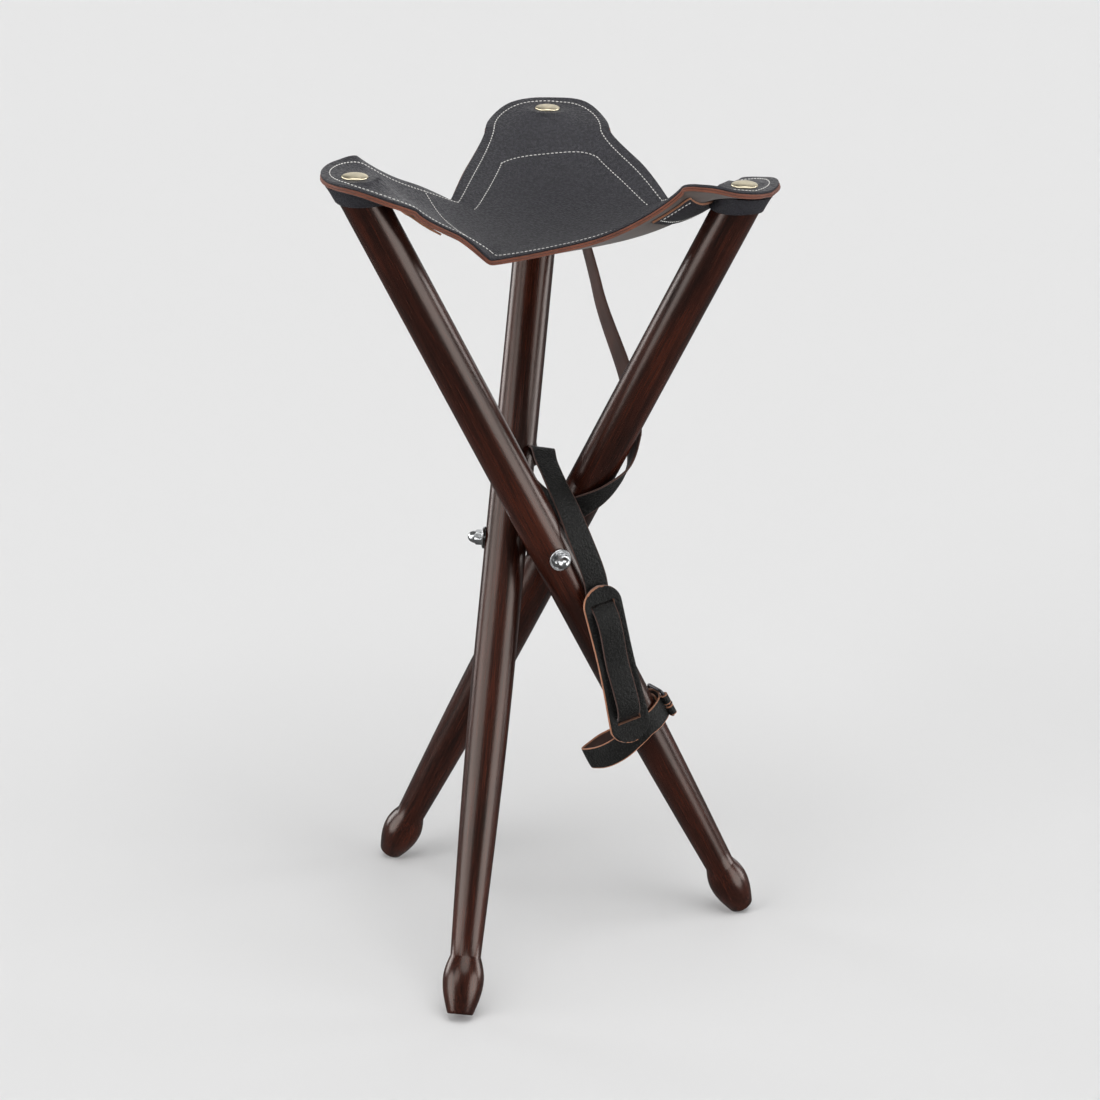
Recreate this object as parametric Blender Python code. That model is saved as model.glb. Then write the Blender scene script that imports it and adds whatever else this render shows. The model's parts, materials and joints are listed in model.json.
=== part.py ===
"""A folding tripod stool, open: three turned legs cross at a three-way stud and carry a leather seat.

Each leg turns on its own arm of the stud. The seat is nailed to the leg tops, and a carrying strap with a
shoulder pad is wound round the legs. Units are metres, +Z is up, and the floor is at z = 0.
"""
from math import acos, ceil, cos, pi, radians, sin, sqrt, tan

import bmesh
import bpy
from mathutils import Matrix, Vector

# Gap between pieces that touch
CLEARANCE = 0.0003

# Stance of the open stool
SPLAY = radians(28.2)
CROSS_RADIUS = 0.0277
LEG_ABOVE = 0.3544
LEG_BELOW = 0.3831

# Turned leg
LEG_RADIUS = 0.017
TAPER_START = 0.100
NECK_RADIUS = 0.0122
NECK_HEIGHT = 0.0462
BULB_RADIUS = 0.0164
BULB_HEIGHT = 0.0278
END_RADIUS = 0.0104

# Stud, washers and nuts
ARM_RADIUS = 0.003
ARM_FIT = 0.0001
BOSS_HEIGHT = 0.016
WASHER_RADIUS = 0.009
WASHER_THICK = 0.0016
NUT_FLATS = 0.011
NUT_HEX_HEIGHT = 0.0055
NUT_DOME_RADIUS = 0.0050
NUT_DOME_HEIGHT = 0.0065
THREAD_IN_NUT = 0.008

# Seat leather
TOP_PLY = 0.0020
LINING_PLY = 0.0036
SEAT_OVERHANG = 0.0225
LOBE_HALF_WIDTH = 0.0500
FLANK_PULL_TIP = 0.0080
FLANK_PULL_MIDDLE = 0.0040
CENTRE_DROP = 0.0620
RIB_SAG_POWER = 1.08
EDGE_SAG_POWER = 1.6

# Lowest point of each seat edge: its distance from the centre, its turn from midway and its drop
FRONT_EDGE_RADIUS = 0.0930
FRONT_EDGE_TURN = radians(-27.7)
FRONT_EDGE_DROP = 0.0612
LEFT_EDGE_RADIUS = 0.0837
LEFT_EDGE_TURN = radians(5.9)
LEFT_EDGE_DROP = 0.0450
RIGHT_EDGE_RADIUS = 0.1180
RIGHT_EDGE_TURN = radians(4.3)
RIGHT_EDGE_DROP = 0.0486

# Pockets under the seat's corners
COLLAR_WALL = 0.0018
COLLAR_HEIGHT = 0.013
PATCH_PLY = 0.0016
PATCH_GAP = 0.0008
PATCH_START_SHARE = 0.02
PATCH_END_SHARE = 0.34
PATCH_WIDTH_SHARE = 0.90

# Seat nails
NAIL_HEAD_RADIUS = 0.0102
NAIL_HEAD_HEIGHT = 0.0028
NAIL_SHANK_RADIUS = 0.0018
NAIL_LENGTH = 0.036

# Carrying strap and its shoulder pad
STRAP_WIDTH = 0.020
STRAP_THICK = 0.0020
STRAP_SLACK = 0.0014
PAD_LENGTH = 0.143
PAD_WIDTH_TOP = 0.033
PAD_WIDTH_BOTTOM = 0.036
PAD_THICK = 0.0040
PAD_STANDOFF = 0.0058
PAD_TOP_ACROSS = 0.0156
PAD_TOP_DOWN = 0.0348
PAD_TURN = radians(13.9)
SLOT_HEIGHT = 0.0090
SLOT_SIDE_GAP = 0.0012
UPPER_SLOT = 0.017
LOWER_SLOT_INSET = 0.022
WOUND_RIGHT_HIGH = 0.107
WOUND_RIGHT_LOW = 0.034
WOUND_REAR_LOW = 0.042
WOUND_REAR_HIGH = 0.078
LOOP_PLAY = 0.0006
LOOP_REACH = 0.055

# Buckle and keeper on the leg loop
BUCKLE_ANGLE = 98.0
BUCKLE_DOWN = 0.172
BUCKLE_WIRE = 0.0014
BUCKLE_LENGTH = 0.024
PRONG_RADIUS = 0.0010
PRONG_HOOK = radians(22)
KEEPER_ANGLE = 146.0
KEEPER_LENGTH = 0.008
KEEPER_WALL = 0.0010
KEEPER_PLAY = 0.0010
KEEPER_LIFT = 0.0004

# Sides of round pieces, the seat panels' rows and columns, and the steps along a seat corner's side
LEG_SIDES = 28
ROUND_SIDES = 24
NAIL_SIDES = 20
ARM_SIDES = 16
HOLE_SIDES = 12
WIRE_SIDES = 10
PANEL_ROWS = 10
PANEL_COLUMNS = 4
CORNER_STEPS = 9

# Heights and places that follow from the sizes above
CROSS_HEIGHT = LEG_BELOW * cos(SPLAY) + END_RADIUS * sin(SPLAY)
TOP_HEIGHT = CROSS_HEIGHT + LEG_ABOVE * cos(SPLAY)
LEAN_OUT = LEG_ABOVE * sin(SPLAY)
TOP_RADIUS = sqrt(CROSS_RADIUS ** 2 + LEAN_OUT ** 2)
TOP_TWIST = acos(CROSS_RADIUS / TOP_RADIUS)
COLLAR_INNER = LEG_RADIUS + CLEARANCE
COLLAR_OUTER = COLLAR_INNER + COLLAR_WALL
BEND_RADIUS = TOP_RADIUS - COLLAR_OUTER / cos(SPLAY) - CLEARANCE
LOBE_CENTRE = TOP_RADIUS + SEAT_OVERHANG - LOBE_HALF_WIDTH
LINING_BOTTOM = TOP_HEIGHT + CLEARANCE
LINING_TOP = LINING_BOTTOM + LINING_PLY
SEAT_BOTTOM = LINING_TOP + CLEARANCE
SEAT_TOP = SEAT_BOTTOM + TOP_PLY
BOSS_FLAT = CROSS_RADIUS - LEG_RADIUS - WASHER_THICK - 2 * CLEARANCE
NUT_FACE = CROSS_RADIUS + LEG_RADIUS + WASHER_THICK + 2 * CLEARANCE
PAD_BACK = LEG_RADIUS + PAD_STANDOFF
LOWER_SLOT = PAD_LENGTH - LOWER_SLOT_INSET
LOOP_RADIUS = LEG_RADIUS + STRAP_THICK / 2 + LOOP_PLAY
LOOP_LAP = STRAP_THICK + KEEPER_PLAY + KEEPER_WALL + KEEPER_LIFT
LEGS = {"left": radians(-60), "right": radians(60), "rear": radians(180)}
FRONT_EDGE = (FRONT_EDGE_RADIUS, FRONT_EDGE_TURN, FRONT_EDGE_DROP)
LEFT_EDGE = (LEFT_EDGE_RADIUS, LEFT_EDGE_TURN, LEFT_EDGE_DROP)
RIGHT_EDGE = (RIGHT_EDGE_RADIUS, RIGHT_EDGE_TURN, RIGHT_EDGE_DROP)
EDGES = {
    "left": {1: FRONT_EDGE, -1: LEFT_EDGE},
    "right": {1: RIGHT_EDGE, -1: FRONT_EDGE},
    "rear": {1: LEFT_EDGE, -1: RIGHT_EDGE},
}


def clear_scene():
    for obj in list(bpy.data.objects):
        bpy.data.objects.remove(obj)


def material(name, colour, roughness, metallic=0.0):
    mat = bpy.data.materials.new(name)
    mat.use_nodes = True
    shader = mat.node_tree.nodes["Principled BSDF"]
    shader.inputs["Base Color"].default_value = (*colour, 1.0)
    shader.inputs["Roughness"].default_value = roughness
    shader.inputs["Metallic"].default_value = metallic
    return mat


def empty(name, parent=None, matrix=None):
    obj = bpy.data.objects.new(name, None)
    bpy.context.collection.objects.link(obj)
    obj.parent = parent
    obj.matrix_local = matrix or Matrix()
    return obj


def solid(name, verts, faces, mat, parent, origin=(0, 0, 0), smooth=True):
    """One closed mesh object, with its origin moved to a point given in the parent's frame."""
    origin = Vector(origin)
    mesh = bpy.data.meshes.new(name)
    mesh.from_pydata([Vector(v) - origin for v in verts], [], faces)
    edit = bmesh.new()
    edit.from_mesh(mesh)
    bmesh.ops.recalc_face_normals(edit, faces=edit.faces)
    edit.to_mesh(mesh)
    edit.free()
    if smooth:
        mesh.shade_smooth()
        mesh.set_sharp_from_angle(angle=radians(35))
    mesh.materials.append(mat)
    obj = bpy.data.objects.new(name, mesh)
    bpy.context.collection.objects.link(obj)
    obj.parent = parent
    obj.location = origin
    return obj


def stacked(rings, closed=False):
    """Vertices and faces of a tube through rings of equally many points, capped or joined end to end."""
    count = len(rings[0])
    verts = [point for ring in rings for point in ring]
    faces = []
    spans = len(rings) if closed else len(rings) - 1
    for i in range(spans):
        low = i * count
        high = (i + 1) % len(rings) * count
        for j in range(count):
            k = (j + 1) % count
            faces.append((low + j, low + k, high + k, high + j))
    if not closed:
        faces.append(tuple(range(count)))
        faces.append(tuple(range(len(verts) - count, len(verts))))
    return verts, faces


def circle(radius, height, sides, axis="Z"):
    points = []
    for i in range(sides):
        angle = 2 * pi * i / sides
        across = (radius * cos(angle), radius * sin(angle))
        points.append((*across, height) if axis == "Z" else (height, *across))
    return points


def turned(profile, sides, axis="Z"):
    """A turned solid from (radius, height) points."""
    return stacked([circle(radius, height, sides, axis) for radius, height in profile])


def cut(target, name, verts, faces, parent):
    """Cuts a hole in target with a cutter that isn't part of the stool."""
    cutter = solid(name, verts, faces, target.data.materials[0], parent, smooth=False)
    cutter.hide_render = True
    cutter.display_type = "WIRE"
    boolean = target.modifiers.new(name, "BOOLEAN")
    boolean.operation = "DIFFERENCE"
    boolean.object = cutter


def outward(leg):
    """The direction of a leg's arm on the stud, in plan."""
    return Vector((cos(LEGS[leg]), sin(LEGS[leg]), 0))


def leg_frame(leg):
    """The leg's frame at the crossing: X out along the arm, Z up along the leg."""
    out = outward(leg)
    along = sin(SPLAY) * Vector((out.y, -out.x, 0)) + cos(SPLAY) * Vector((0, 0, 1))
    side = along.cross(out)
    place = Vector((0, 0, CROSS_HEIGHT)) + CROSS_RADIUS * out
    frame = Matrix((out, side, along)).transposed().to_4x4()
    frame.translation = place
    return frame


def level_point(radius, angle, height):
    """A point at a radius and angle round a leg's axis, at a height over the leg's level top."""
    across = radius * sin(angle)
    return (radius * cos(angle), across, LEG_ABOVE + height / cos(SPLAY) - across * tan(SPLAY))


def leg_profile():
    """(radius, height) points up the turned leg, from the foot's end to below its level top."""
    points = []
    steps = 5
    for i in range(steps + 1):
        share = i / steps
        radius = END_RADIUS + (BULB_RADIUS - END_RADIUS) * sin(pi / 2 * share)
        points.append((radius, -LEG_BELOW + BULB_HEIGHT * share))
    for i in range(1, steps + 1):
        share = i / steps
        height = BULB_HEIGHT + (NECK_HEIGHT - BULB_HEIGHT) * share
        points.append((NECK_RADIUS + (BULB_RADIUS - NECK_RADIUS) * cos(pi / 2 * share), -LEG_BELOW + height))
    for i in range(1, steps + 1):
        share = i / steps
        radius = NECK_RADIUS + (LEG_RADIUS - NECK_RADIUS) * sin(pi / 2 * share)
        start = -LEG_BELOW + NECK_HEIGHT
        points.append((radius, start + (-TAPER_START - start) * share))
    return points


def make_leg(leg, pivot, mat):
    rings = [circle(radius, height, LEG_SIDES) for radius, height in leg_profile()]
    angles = [2 * pi * i / LEG_SIDES for i in range(LEG_SIDES)]
    rings.append([level_point(LEG_RADIUS, angle, 0) for angle in angles])
    body = solid(f"{leg}_leg", *stacked(rings), mat, pivot)
    reach = LEG_RADIUS + WASHER_THICK
    hole = turned([(ARM_RADIUS + ARM_FIT, -reach), (ARM_RADIUS + ARM_FIT, reach)], ROUND_SIDES, "X")
    cut(body, f"{leg}_arm_hole", *hole, pivot)
    up = Vector((0, sin(SPLAY), cos(SPLAY)))
    radius = NAIL_SHANK_RADIUS + CLEARANCE
    bottom = SEAT_TOP - TOP_HEIGHT - NAIL_LENGTH - CLEARANCE
    rings = []
    for height in (bottom, LINING_PLY):
        centre = Vector((0, 0, LEG_ABOVE)) + height * up
        ring = [Vector((x, y * cos(SPLAY), -y * sin(SPLAY))) for x, y, _ in circle(radius, 0, HOLE_SIDES)]
        rings.append([centre + point for point in ring])
    cut(body, f"{leg}_nail_hole", *stacked(rings), pivot)


def make_stud(hub, mat):
    """A three-sided boss with a round arm through each leg."""
    boss_corner = BOSS_FLAT / cos(pi / 3)
    rings = []
    for height in (-BOSS_HEIGHT / 2, BOSS_HEIGHT / 2):
        rings.append(circle(boss_corner, height, 3))
    stud = solid("three_way_stud", *stacked(rings), mat, hub, smooth=False)
    tip = NUT_FACE + THREAD_IN_NUT
    for leg, angle in LEGS.items():
        arm = turned([(ARM_RADIUS, BOSS_FLAT / 2), (ARM_RADIUS, tip)], ARM_SIDES, "X")
        piece = solid(f"{leg}_arm", *arm, mat, hub, smooth=False)
        piece.rotation_euler.z = angle
        piece.hide_render = True
        piece.display_type = "WIRE"
        union = stud.modifiers.new(f"{leg}_arm", "BOOLEAN")
        union.operation = "UNION"
        union.object = piece


def make_washer(name, hub, angle, inner_face, mat):
    hole = ARM_RADIUS + CLEARANCE
    outer_face = inner_face + WASHER_THICK
    corners = ((hole, inner_face), (WASHER_RADIUS, inner_face), (WASHER_RADIUS, outer_face), (hole, outer_face))
    rings = [circle(radius, height, ROUND_SIDES, "X") for radius, height in corners]
    washer = solid(name, *stacked(rings, closed=True), mat, hub)
    washer.rotation_euler.z = angle


def make_cap_nut(name, hub, angle, mat):
    """A six-sided nut with a dome, bored for the arm's end."""
    face = NUT_FACE + CLEARANCE
    bore = ARM_RADIUS + CLEARANCE
    shoulder = face + NUT_HEX_HEIGHT
    corner = NUT_FLATS / sqrt(3)
    hexagon = []
    for i in range(ROUND_SIDES):
        turn = 2 * pi * i / ROUND_SIDES
        to_flat = (turn % (pi / 3)) - pi / 6
        hexagon.append((corner * cos(pi / 6) / cos(to_flat), turn))
    depth = NUT_FACE + THREAD_IN_NUT + CLEARANCE
    rings = [circle(bore, height, ROUND_SIDES, "X") for height in (depth, face)]
    for height in (face, shoulder):
        rings.append([(height, r * cos(a), r * sin(a)) for r, a in hexagon])
    steps = 4
    for i in range(steps):
        turn = pi / 2 * i / steps
        height = shoulder + NUT_DOME_HEIGHT * sin(turn)
        rings.append(circle(NUT_DOME_RADIUS * cos(turn), height, ROUND_SIDES, "X"))
    nut = solid(name, *stacked(rings), mat, hub)
    nut.rotation_euler.z = angle


def make_hardware(hub, zinc):
    make_stud(hub, zinc)
    for leg, angle in LEGS.items():
        inner = CROSS_RADIUS - LEG_RADIUS - WASHER_THICK - CLEARANCE
        make_washer(f"{leg}_inner_washer", hub, angle, inner, zinc)
        outer = CROSS_RADIUS + LEG_RADIUS + CLEARANCE
        make_washer(f"{leg}_outer_washer", hub, angle, outer, zinc)
        make_cap_nut(f"{leg}_cap_nut", hub, angle, zinc)


def lobe_frame(leg):
    """The frame of a seat corner's lobe on the floor: X out over the leg's top, Z up."""
    return Matrix.Rotation(LEGS[leg] - TOP_TWIST, 4, "Z")


def edge_middle(leg, side):
    """(outwards, across) of the lowest point on the edge at one side of a lobe, and its angle and drop."""
    radius, turn, drop = EDGES[leg][side]
    angle = pi / 3 + side * turn
    return radius * Vector((cos(angle), sin(angle))), angle, drop


def edge_point(leg, side, share):
    """(outwards, across) on a lobe's edge: round its tip (0 to 1), then down its flank to the lowest point (2)."""
    if share < 1:
        turn = pi / 2 * share
        return Vector((LOBE_CENTRE + LOBE_HALF_WIDTH * cos(turn), LOBE_HALF_WIDTH * sin(turn)))
    start = Vector((LOBE_CENTRE, LOBE_HALF_WIDTH))
    end, _, _ = edge_middle(leg, side)
    pull_start = start - Vector((FLANK_PULL_TIP, 0))
    pull_end = end + FLANK_PULL_MIDDLE * Vector((sin(pi / 3), -cos(pi / 3)))
    done = share - 1
    left = 1 - done
    bend = 3 * left * done * (left * pull_start + done * pull_end)
    return left ** 3 * start + bend + done ** 3 * end


def bend_share(leg, side):
    """Where the lobe's edge crosses the line on which the leather bends down off the leg."""
    low, high = 0.0, 2.0
    for _ in range(40):
        middle = (low + high) / 2
        if edge_point(leg, side, middle).x > BEND_RADIUS:
            low = middle
        else:
            high = middle
    return low


def half_row(leg, side, down, columns, breadth):
    """(outwards, across, drop) from the lobe's middle line to its edge, a share of the way down."""
    gap = CLEARANCE / 2
    end, angle, edge_drop = edge_middle(leg, side)
    apex = gap / sin(min(edge_middle(leg, 1)[1], edge_middle(leg, -1)[1]))
    first = bend_share(leg, side)
    edge = edge_point(leg, side, first + (2 - first) * down)
    fall = min(1.0, max(0.0, (BEND_RADIUS - edge.x) / (BEND_RADIUS - end.x)))
    edge += gap * (down * Vector((sin(angle), -cos(angle))) - (1 - down) * Vector((1, 0)))
    rib = (BEND_RADIUS - gap) * (1 - down) + apex * down
    rib_drop = CENTRE_DROP * down ** RIB_SAG_POWER
    side_drop = edge_drop * (1 - (1 - fall) ** EDGE_SAG_POWER)
    row = []
    for j in range(columns + 1):
        share = breadth * j / columns
        drop = rib_drop + (side_drop - rib_drop) * share
        row.append((rib + (edge.x - rib) * share, side * edge.y * share, drop))
    return row


def panel(leg, rows, columns, start=0.0, end=1.0, breadth=1.0):
    """Rows of (outwards, across, drop) on a lobe, from its bend line to the lines where lobes meet."""
    grid = []
    for i in range(rows + 1):
        down = start + (end - start) * i / rows
        right = half_row(leg, -1, down, columns, breadth)
        left = half_row(leg, 1, down, columns, breadth)
        grid.append(right[:0:-1] + left)
    return grid


def sheet(grid, top, thick):
    """A closed sheet from rows of (outwards, across, drop) below a height."""
    rows, columns = len(grid), len(grid[0])
    upper = [(x, y, top - drop) for row in grid for x, y, drop in row]
    lower = [(x, y, z - thick) for x, y, z in upper]
    base = len(upper)
    faces = []
    for i in range(rows - 1):
        for j in range(columns - 1):
            a = i * columns + j
            b = a + columns + 1
            for face in ((a, a + 1, b), (a, b, a + columns)):
                faces.append(face)
                faces.append(tuple(base + k for k in reversed(face)))
    rim = list(range(columns))
    rim += [i * columns + columns - 1 for i in range(1, rows)]
    rim += [(rows - 1) * columns + j for j in range(columns - 2, -1, -1)]
    rim += [i * columns for i in range(rows - 2, 0, -1)]
    for a, b in zip(rim, rim[1:] + rim[:1]):
        faces.append((a, b, base + b, base + a))
    return upper + lower, faces


def corner_side(leg, side):
    """(outwards, across) along one side of a seat corner, from the bend line to just before its tip."""
    end = bend_share(leg, side)
    points = [edge_point(leg, side, end * i / CORNER_STEPS) for i in range(CORNER_STEPS, 0, -1)]
    points[0].x = BEND_RADIUS + CLEARANCE / 2
    return [(p.x, side * p.y) for p in points]


def corner_outline(leg):
    """(outwards, across) round the flat seat corner over a leg, and back along its bend line."""
    tip = (LOBE_CENTRE + LOBE_HALF_WIDTH, 0)
    points = corner_side(leg, -1) + [tip] + corner_side(leg, 1)[::-1]
    bend_line = panel(leg, 1, PANEL_COLUMNS)[0][-2:0:-1]
    return points + [(BEND_RADIUS + CLEARANCE / 2, across) for _, across, _ in bend_line]


def nail_hole(outline):
    """(outwards, across) round the nail's hole, one point for each of the corner's outline."""
    radius = NAIL_SHANK_RADIUS + CLEARANCE
    middle = Vector((TOP_RADIUS, 0))
    return [middle + radius * (Vector(point) - middle).normalized() for point in outline]


def make_seat(leg, stool, leather, lining):
    """The seat's two plies over one leg: a flat corner and a panel that hangs from it to the seat's centre."""
    lobe = empty(f"{leg}_lobe", stool, lobe_frame(leg))
    outline = corner_outline(leg)
    hole = nail_hole(outline)
    plies = (("seat", SEAT_TOP, TOP_PLY, leather), ("lining", LINING_TOP, LINING_PLY, lining))
    for ply, top, thick, mat in plies:
        low = top - thick
        rings = [[(x, y, z) for x, y in ring] for ring, z in ((hole, low), (outline, low), (outline, top), (hole, top))]
        solid(f"{ply}_{leg}_corner", *stacked(rings, closed=True), mat, lobe)
        grid = panel(leg, PANEL_ROWS, PANEL_COLUMNS)
        solid(f"{ply}_{leg}_panel", *sheet(grid, top, thick), mat, lobe)
    patch = panel(leg, PANEL_COLUMNS, PANEL_COLUMNS, PATCH_START_SHARE, PATCH_END_SHARE, PATCH_WIDTH_SHARE)
    solid(f"{leg}_pocket_patch", *sheet(patch, LINING_BOTTOM - PATCH_GAP, PATCH_PLY), leather, lobe)


def make_pocket(leg, pivot, mat):
    """A leather collar round the leg's top, level at both ends."""
    low = -COLLAR_HEIGHT
    corners = ((COLLAR_INNER, 0), (COLLAR_OUTER, 0), (COLLAR_OUTER, low), (COLLAR_INNER, low))
    angles = [2 * pi * i / LEG_SIDES for i in range(LEG_SIDES)]
    rings = [[level_point(radius, angle, height) for angle in angles] for radius, height in corners]
    solid(f"{leg}_pocket", *stacked(rings, closed=True), mat, pivot)


def make_nail(leg, stool, mat):
    under = SEAT_TOP + CLEARANCE
    profile = [(NAIL_SHANK_RADIUS / 3, SEAT_TOP - NAIL_LENGTH)]
    profile.append((NAIL_SHANK_RADIUS, SEAT_TOP - NAIL_LENGTH + 3 * NAIL_SHANK_RADIUS))
    profile.append((NAIL_SHANK_RADIUS, under))
    profile.append((NAIL_HEAD_RADIUS, under))
    steps = 5
    for i in range(1, steps):
        turn = pi / 2 * i / steps
        profile.append((NAIL_HEAD_RADIUS * cos(turn), under + NAIL_HEAD_HEIGHT * sin(turn)))
    lobe = empty(f"{leg}_nail_place", stool, lobe_frame(leg) @ Matrix.Translation((TOP_RADIUS, 0, 0)))
    solid(f"{leg}_seat_nail", *turned(profile, NAIL_SIDES), mat, lobe)


def round_leg(leg, up, angle, radius):
    """A place on a strap wound round a leg: its point and the way its face looks, from the leg's axis."""
    frame = leg_frame(leg)
    facing = Vector((cos(radians(angle)), sin(radians(angle)), 0))
    point = frame @ (radius * facing + Vector((0, 0, up)))
    return point, frame.to_3x3() @ facing


def wound_round(leg, start, end, angles, spare):
    """Places on a strap that climbs evenly round a leg, standing off the wood by the given shares of its slack."""
    places = []
    for angle, share in zip(angles, spare):
        up = start + (end - start) * (angle - angles[0]) / (angles[-1] - angles[0])
        radius = LEG_RADIUS + STRAP_THICK / 2 + STRAP_SLACK * share
        places.append(round_leg(leg, up, angle, radius))
    return places


def free(x, y, z, facing):
    """A place on a strap between legs, from the crossing, in shares of the leg's upper length."""
    return LEG_ABOVE * Vector((x, y, z)) + Vector((0, 0, CROSS_HEIGHT)), Vector(facing).normalized()


def smooth_route(places, step=0.006):
    """Points and facings along a smooth curve through a strap's places."""
    points = [point for point, _ in places]
    spans = [b - a for a, b in zip(points, points[1:])]
    headings = [spans[0].normalized()]
    for a, b in zip(spans, spans[1:]):
        headings.append((a * b.length / a.length + b * a.length / b.length) / (a.length + b.length))
    headings.append(spans[-1].normalized())
    route = []
    for i, span in enumerate(spans):
        start, end = headings[i] * span.length, headings[i + 1] * span.length
        count = max(2, ceil(span.length / step))
        for j in range(count):
            t = j / count
            point = points[i] + span * t ** 2 * (3 - 2 * t) + start * t * (1 - t) ** 2 - end * t ** 2 * (1 - t)
            route.append((point, places[i][1].lerp(places[i + 1][1], t)))
    route.append(places[-1])
    return route


def strap_rings(route):
    """The strap's four corners and its heading at each point of a route."""
    rings = []
    for i, (point, facing) in enumerate(route):
        before = route[max(i - 1, 0)][0]
        after = route[min(i + 1, len(route) - 1)][0]
        along = (after - before).normalized()
        half = along.cross(facing).normalized() * STRAP_WIDTH / 2
        rise = half.normalized().cross(along) * STRAP_THICK / 2
        corners = [point - half - rise, point + half - rise, point + half + rise, point - half + rise]
        rings.append((corners, along))
    return rings


def shifted(ring, distance):
    corners, along = ring
    return [corner + along * distance for corner in corners]


def pad_frame():
    """The shoulder pad's frame in the left leg's: Z down the pad from its top, X out of its face."""
    down = Vector((0, -sin(PAD_TURN), -cos(PAD_TURN)))
    out = Vector((1, 0, 0))
    frame = Matrix((out, down.cross(out), down)).transposed().to_4x4()
    frame.translation = (0, PAD_TOP_ACROSS, -PAD_TOP_DOWN)
    return frame


def on_pad(down, out):
    """A place on the strap at the shoulder pad."""
    frame = leg_frame("left") @ pad_frame()
    return frame @ Vector((out, 0, down)), frame.to_3x3() @ Vector((1, 0, 0))


def make_pad(pivot, mat):
    """A long plate with rounded ends, a little wider below, and two slots for the strap."""
    place = empty("pad_place", pivot, pad_frame())
    outline = []
    steps = 8
    for end, width, start in ((0, PAD_WIDTH_TOP, pi), (PAD_LENGTH, PAD_WIDTH_BOTTOM, 0)):
        radius = width / 2
        inset = radius if end == 0 else PAD_LENGTH - radius
        for i in range(steps + 1):
            turn = start + pi * i / steps
            outline.append((radius * cos(turn), inset + radius * sin(turn)))
    rings = [[(out, y, z) for y, z in outline] for out in (PAD_BACK, PAD_BACK + PAD_THICK)]
    pad = solid("shoulder_pad", *stacked(rings), mat, place)
    half = STRAP_WIDTH / 2 + SLOT_SIDE_GAP
    for name, middle in (("upper", UPPER_SLOT), ("lower", LOWER_SLOT)):
        low, high = middle - SLOT_HEIGHT / 2, middle + SLOT_HEIGHT / 2
        rings = []
        for out in (PAD_BACK - PAD_THICK, PAD_BACK + 2 * PAD_THICK):
            rings.append([(out, -half, low), (out, half, low), (out, half, high), (out, -half, high)])
        cut(pad, f"{name}_slot", *stacked(rings), place)


def strap_places():
    """The strap's stretches in order, from the rear pocket to behind the pad's lower end."""
    sewn = COLLAR_OUTER + CLEARANCE + STRAP_THICK / 2
    behind = PAD_BACK - STRAP_THICK / 2 - 2 * CLEARANCE
    over = PAD_BACK + PAD_THICK + STRAP_THICK / 2 + 2 * CLEARANCE
    through = PAD_BACK + PAD_THICK / 2
    rise = SLOT_HEIGHT / 2 + STRAP_THICK / 4
    right_angles = (-15, -60, -100, -140, -168)
    right = wound_round("right", WOUND_RIGHT_HIGH, WOUND_RIGHT_LOW, right_angles, (1.7, 3.1, 1.7, 1, 1))
    rear_angles = (98, 50, 0, -50, -100, -140, -170)
    rear = wound_round("rear", WOUND_REAR_LOW, WOUND_REAR_HIGH, rear_angles, (1.4, 1, 1, 1, 1, 1, 1.7))
    upper = [
        round_leg("rear", LEG_ABOVE - 0.6 * COLLAR_HEIGHT, 187, sewn),
        round_leg("rear", LEG_ABOVE - 2 * COLLAR_HEIGHT, 190, sewn + STRAP_THICK / 2),
        free(0.0847, 0.2342, 0.5361, (0.75, 0.62, 0.15)),
        right[0],
    ]
    wrap = right[1:] + [free(0.0000, 0.0028, 0.1016, (0.05, -1.0, 0.1))] + rear[:-1]
    drop = [
        rear[-1],
        free(-0.0028, 0.0564, 0.1891, (0.5, 0.25, 0.8)),
        free(0.0536, -0.0480, 0.1270, (0.40, -0.75, 0.50)),
        free(0.1157, -0.0847, 0.0226, (0.45, -0.85, 0.2)),
        on_pad(-3 * STRAP_THICK, behind),
    ]
    front = [
        on_pad(UPPER_SLOT - rise, behind),
        on_pad(UPPER_SLOT, through),
        on_pad(UPPER_SLOT + rise, over),
        on_pad((UPPER_SLOT + LOWER_SLOT) / 2, over + STRAP_THICK / 2),
        on_pad(LOWER_SLOT - rise, over),
        on_pad(LOWER_SLOT, through),
        on_pad(LOWER_SLOT + rise, behind),
        on_pad(PAD_LENGTH - 3 * STRAP_THICK, behind),
    ]
    return {"strap_upper": upper, "strap_wrap": wrap, "strap_drop": drop, "strap_front": front}


def loop_places():
    """The loop round the left leg, from under the buckle round the back and front to its outer end."""
    outer = LOOP_RADIUS + LOOP_LAP
    level = -BUCKLE_DOWN
    return [
        round_leg("left", level, 76, LOOP_RADIUS),
        round_leg("left", level, 100, LOOP_RADIUS),
        round_leg("left", level - 0.001, 130, LOOP_RADIUS),
        round_leg("left", level - 0.002, 175, LOOP_RADIUS),
        round_leg("left", level - 0.005, 215, LOOP_RADIUS + 0.008),
        round_leg("left", level - 0.009, 236, LOOP_REACH - 0.010),
        round_leg("left", level - 0.011, 246, LOOP_REACH),
        round_leg("left", level - 0.013, 255, LOOP_REACH - 0.008),
        round_leg("left", level - 0.016, 285, LOOP_RADIUS + 0.012),
        round_leg("left", level - 0.019, 325, LOOP_RADIUS + 0.0006),
        round_leg("left", level - 0.016, 365, LOOP_RADIUS),
        round_leg("left", level - 0.008, 400, LOOP_RADIUS + 0.0004),
        round_leg("left", level - 0.002, 430, LOOP_RADIUS + 0.7 * LOOP_LAP),
        round_leg("left", level, 455, outer),
        round_leg("left", level, 480, outer),
        round_leg("left", level, 506, outer),
        round_leg("left", level - 0.001, 530, outer + KEEPER_LIFT),
    ]


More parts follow.
